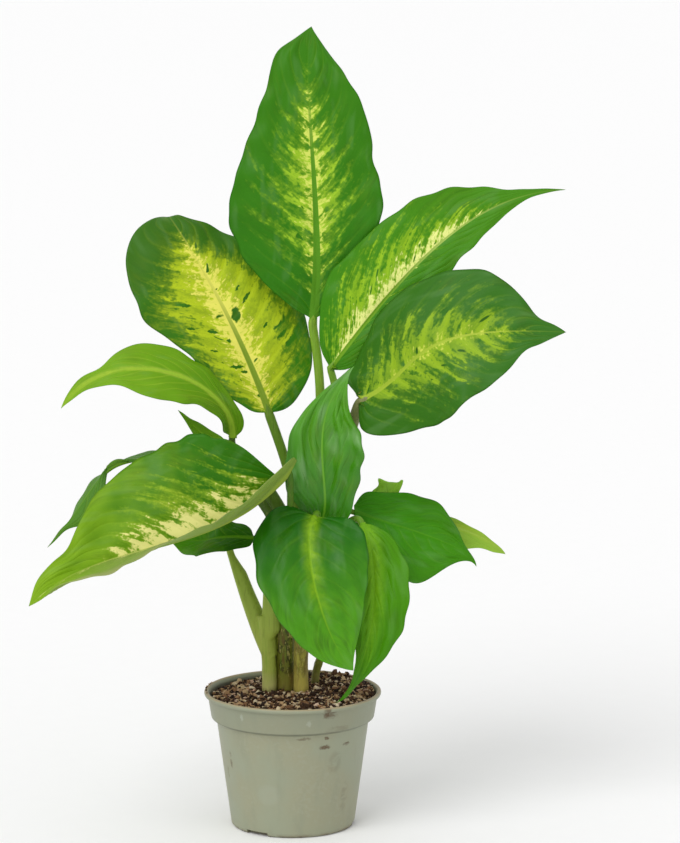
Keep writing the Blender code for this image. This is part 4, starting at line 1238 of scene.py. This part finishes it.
CHIP_TONES = (
    (0.0, (0.014, 0.006, 0.003)),
    (0.34, (0.058, 0.024, 0.01)),
    (0.48, (0.2, 0.1, 0.045)),
    (0.6, (0.4, 0.24, 0.12)),
    (0.76, (0.5, 0.37, 0.21)),
    (0.9, (0.72, 0.6, 0.43)),
    (1.0, (0.47, 0.23, 0.17)),
)


def chip_mesh(settings):
    """Angular chips of bark and grit scattered on the soil, with a few on the lip."""
    rng = np.random.default_rng(settings.seed)
    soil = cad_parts["soil"]
    ground = BVHTree.FromPolygons([vertex.co.copy() for vertex in soil.data.vertices],
                                  [tuple(face.vertices) for face in soil.data.polygons])
    base = bmesh.new()
    bmesh.ops.create_icosphere(base, subdivisions=1, radius=1.0)
    shape = np.array([vertex.co[:] for vertex in base.verts])
    corners = [[vertex.index for vertex in face.verts] for face in base.faces]
    base.free()
    feet = [(shoot.cane[0][0] * MM, shoot.cane[0][1] * MM, shoot.radii[0] * MM) for shoot in SHOOTS.values()]
    verts, faces, tones = [], [], []

    def drop(x, y, z, size):
        """Add one chip, turned and tilted anyhow."""
        form = np.array([rng.uniform(0.9, 1.5), rng.uniform(0.55, 0.95), rng.uniform(0.3, 0.7)])
        lean = Matrix.Rotation(rng.normal(0, 0.5), 3, "X") @ Matrix.Rotation(rng.normal(0, 0.5), 3, "Y")
        spin = np.array(lean @ Matrix.Rotation(rng.uniform(0, 2 * pi), 3, "Z"))
        own = shape * rng.uniform(0.72, 1.2, (len(shape), 1)) * (form * size * 0.5)
        own = own @ spin.T + np.array([x, y, z + form[2] * size * rng.uniform(0.05, 0.45)])
        start = len(verts)
        verts.extend(own.tolist())
        faces.extend(tuple(start + corner for corner in face) for face in corners)
        tones.extend([rng.beta(0.85, 1.25)] * len(own))

    placed = 0
    for _ in range(settings.chips * 3):
        if placed == settings.chips:
            break
        turn = rng.uniform(0, 2 * pi)
        far = SOIL_RADIUS * rng.uniform(0.0, 1.0) ** 0.5
        x, y = far * cos(turn), far * sin(turn)
        size = settings.chip_size * float(np.clip(rng.lognormal(-0.25, 0.45), 0.35, 2.6))
        on_foot = any((x - a) ** 2 + (y - b) ** 2 < (r + size * 0.7) ** 2 for a, b, r in feet)
        if on_foot or far + size * 0.6 > SOIL_RADIUS:
            continue
        hit = ground.ray_cast(Vector((x, y, 0.2)), Vector((0.0, 0.0, -1.0)))[0]
        if hit is None or hit.z < LOWEST_CHIP:
            continue
        drop(x, y, hit.z + heaped(settings, x, y), size)
        placed += 1
    lip = POT_RADIUS - LIP_MIDDLE
    for turn in rng.normal(radians(178), 0.13, 16):
        drop(lip * cos(turn), lip * sin(turn), POT_TOP, settings.chip_size * rng.uniform(0.4, 0.75))
    mesh = bpy.data.meshes.new("soil_chips")
    mesh.from_pydata(verts, [], faces)
    add_attribute(mesh, "tone", "FLOAT", np.array(tones))
    return mesh


def chip_finish():
    """Bark and grit, from near black to pale, with a tone of its own for each chip."""
    finish = Finish("soil_chips")
    tone = finish.attribute("tone", "Fac")
    grain = finish.noise(finish.place(), 1500.0, 2.0, 0.6)
    tone = finish.ramp(tone + (grain - 0.5) * 0.16, CHIP_TONES)
    return finish.surface(tone, 0.75 + (grain - 0.5) * 0.2, 0.2, grain, 0.0003, 0.8)


class GrowLeaves(Operator):
    """Grow every blade with its veins, light areas and gloss"""

    bl_idname = "dieffenbachia.leaves"
    bl_label = "Leaves"

    def execute(self, context):
        settings = context.scene.leaf_settings
        necks = {stalk.leaf: stalk.top for shoot in SHOOTS.values() for stalk in shoot.stalks}
        for number, (name, leaf) in enumerate(LEAVES.items()):
            look = LOOKS[name]
            mesh = blade_mesh(name, leaf, look, necks[name], settings)
            finish = leaf_finish(f"{name}_green", look, settings, 3.7 * number)
            new_piece(f"blade_{name[5:]}", mesh, finish, (name,))
        return {"FINISHED"}


class GrowShoots(Operator):
    """Grow the canes and the leaf stalks"""

    bl_idname = "dieffenbachia.shoots"
    bl_label = "Canes and stalks"

    def execute(self, context):
        settings = context.scene.shoot_settings
        low = SOIL_TOP - CANE_DEPTH
        for name, shoot in SHOOTS.items():
            mesh = shoot_mesh(name, shoot, settings)
            finish = shoot_finish(f"{name}_bark", BARKS[name], low, settings.ring_gap / MM)
            new_piece(f"cane_{name[6:]}", mesh, finish, (name,))
        return {"FINISHED"}


class MouldPot(Operator):
    """Mould the nursery pot"""

    bl_idname = "dieffenbachia.pot"
    bl_label = "Pot"

    def execute(self, context):
        settings = context.scene.pot_settings
        new_piece("nursery_pot", pot_mesh(settings), pot_finish(settings), ("pot",))
        return {"FINISHED"}


class FillSoil(Operator):
    """Fill the pot with soil and scatter chips on it"""

    bl_idname = "dieffenbachia.soil"
    bl_label = "Soil"

    def execute(self, context):
        settings = context.scene.soil_settings
        new_piece("potting_soil", soil_mesh(settings), soil_finish(settings), ("soil",))
        chips = new_piece("soil_chips", chip_mesh(settings), chip_finish())
        return {"FINISHED"}


class SetStage(Operator):
    """Lay the floor and set the lights and the camera"""

    bl_idname = "dieffenbachia.stage"
    bl_label = "Stage"

    def execute(self, context):
        settings = context.scene.stage_settings
        scene = context.scene
        mesh = bpy.data.meshes.new("floor")
        work = bmesh.new()
        bmesh.ops.create_circle(work, cap_ends=True, segments=128, radius=FLOOR_RADIUS)
        work.to_mesh(mesh)
        work.free()
        floor = new_object("floor", mesh)
        floor.location.z = CAD_BOX[0][2] - FLOOR_DROP
        finish = Finish("floor_paper")
        grain = finish.noise(finish.place(), 60.0, 2.0)
        tone = finish.mix(settings.floor, shade(settings.floor, 0.985), grain)
        finish.set("Base Color", tone)
        finish.set("Roughness", 0.9)
        mesh.materials.append(finish.material)

        world = bpy.data.worlds.new("studio")
        world.use_nodes = True
        sky = world.node_tree.nodes["Background"]
        sky.inputs["Color"].default_value = (1.0, 1.0, 1.0, 1.0)
        sky.inputs["Strength"].default_value = settings.sky
        scene.world = world
        softbox = bpy.data.lights.new("softbox", "SUN")
        softbox.energy = settings.sun
        softbox.angle = settings.spread
        lamp = new_object("softbox", softbox)
        lamp.rotation_euler = Vector(LIGHT_FROM).to_track_quat("Z", "Y").to_euler()

        lens = bpy.data.cameras.new("camera")
        lens.sensor_fit = "VERTICAL"
        lens.sensor_height = 36.0
        lens.lens = settings.lens
        lens.clip_start = 0.05
        lens.clip_end = 40.0
        camera = new_object("camera", lens)
        camera.location = settings.camera
        camera.rotation_euler = (pi / 2 - settings.pitch, 0.0, 0.0)
        scene.camera = camera
        scene.view_settings.view_transform = "Standard"
        return {"FINISHED"}


OPERATORS = (MouldPot, FillSoil, GrowShoots, GrowLeaves, SetStage)
GROUPS = {
    "pot_settings": PotSettings,
    "soil_settings": SoilSettings,
    "shoot_settings": ShootSettings,
    "leaf_settings": LeafSettings,
    "stage_settings": StageSettings,
}


class DieffenbachiaPanel(Panel):
    """The plant's settings and steps, in the 3D view's sidebar"""

    bl_idname = "VIEW3D_PT_dieffenbachia"
    bl_label = "Potted Dieffenbachia"
    bl_space_type = "VIEW_3D"
    bl_region_type = "UI"
    bl_category = "Dieffenbachia"

    def draw(self, context):
        for (slot, group), step in zip(GROUPS.items(), OPERATORS):
            box = self.layout.box()
            settings = getattr(context.scene, slot)
            for name in group.__annotations__:
                box.prop(settings, name)
            box.operator(step.bl_idname)


def register():
    for kind in (*GROUPS.values(), *OPERATORS, DieffenbachiaPanel):
        bpy.utils.register_class(kind)
    for slot, group in GROUPS.items():
        setattr(bpy.types.Scene, slot, PointerProperty(type=group))


def unregister():
    for slot in GROUPS:
        delattr(bpy.types.Scene, slot)
    for kind in reversed((*GROUPS.values(), *OPERATORS, DieffenbachiaPanel)):
        bpy.utils.unregister_class(kind)


def main():
    register()
    bpy.ops.dieffenbachia.pot()
    bpy.ops.dieffenbachia.soil()
    bpy.ops.dieffenbachia.shoots()
    bpy.ops.dieffenbachia.leaves()
    bpy.ops.dieffenbachia.stage()


if __name__ == "__main__":
    main()
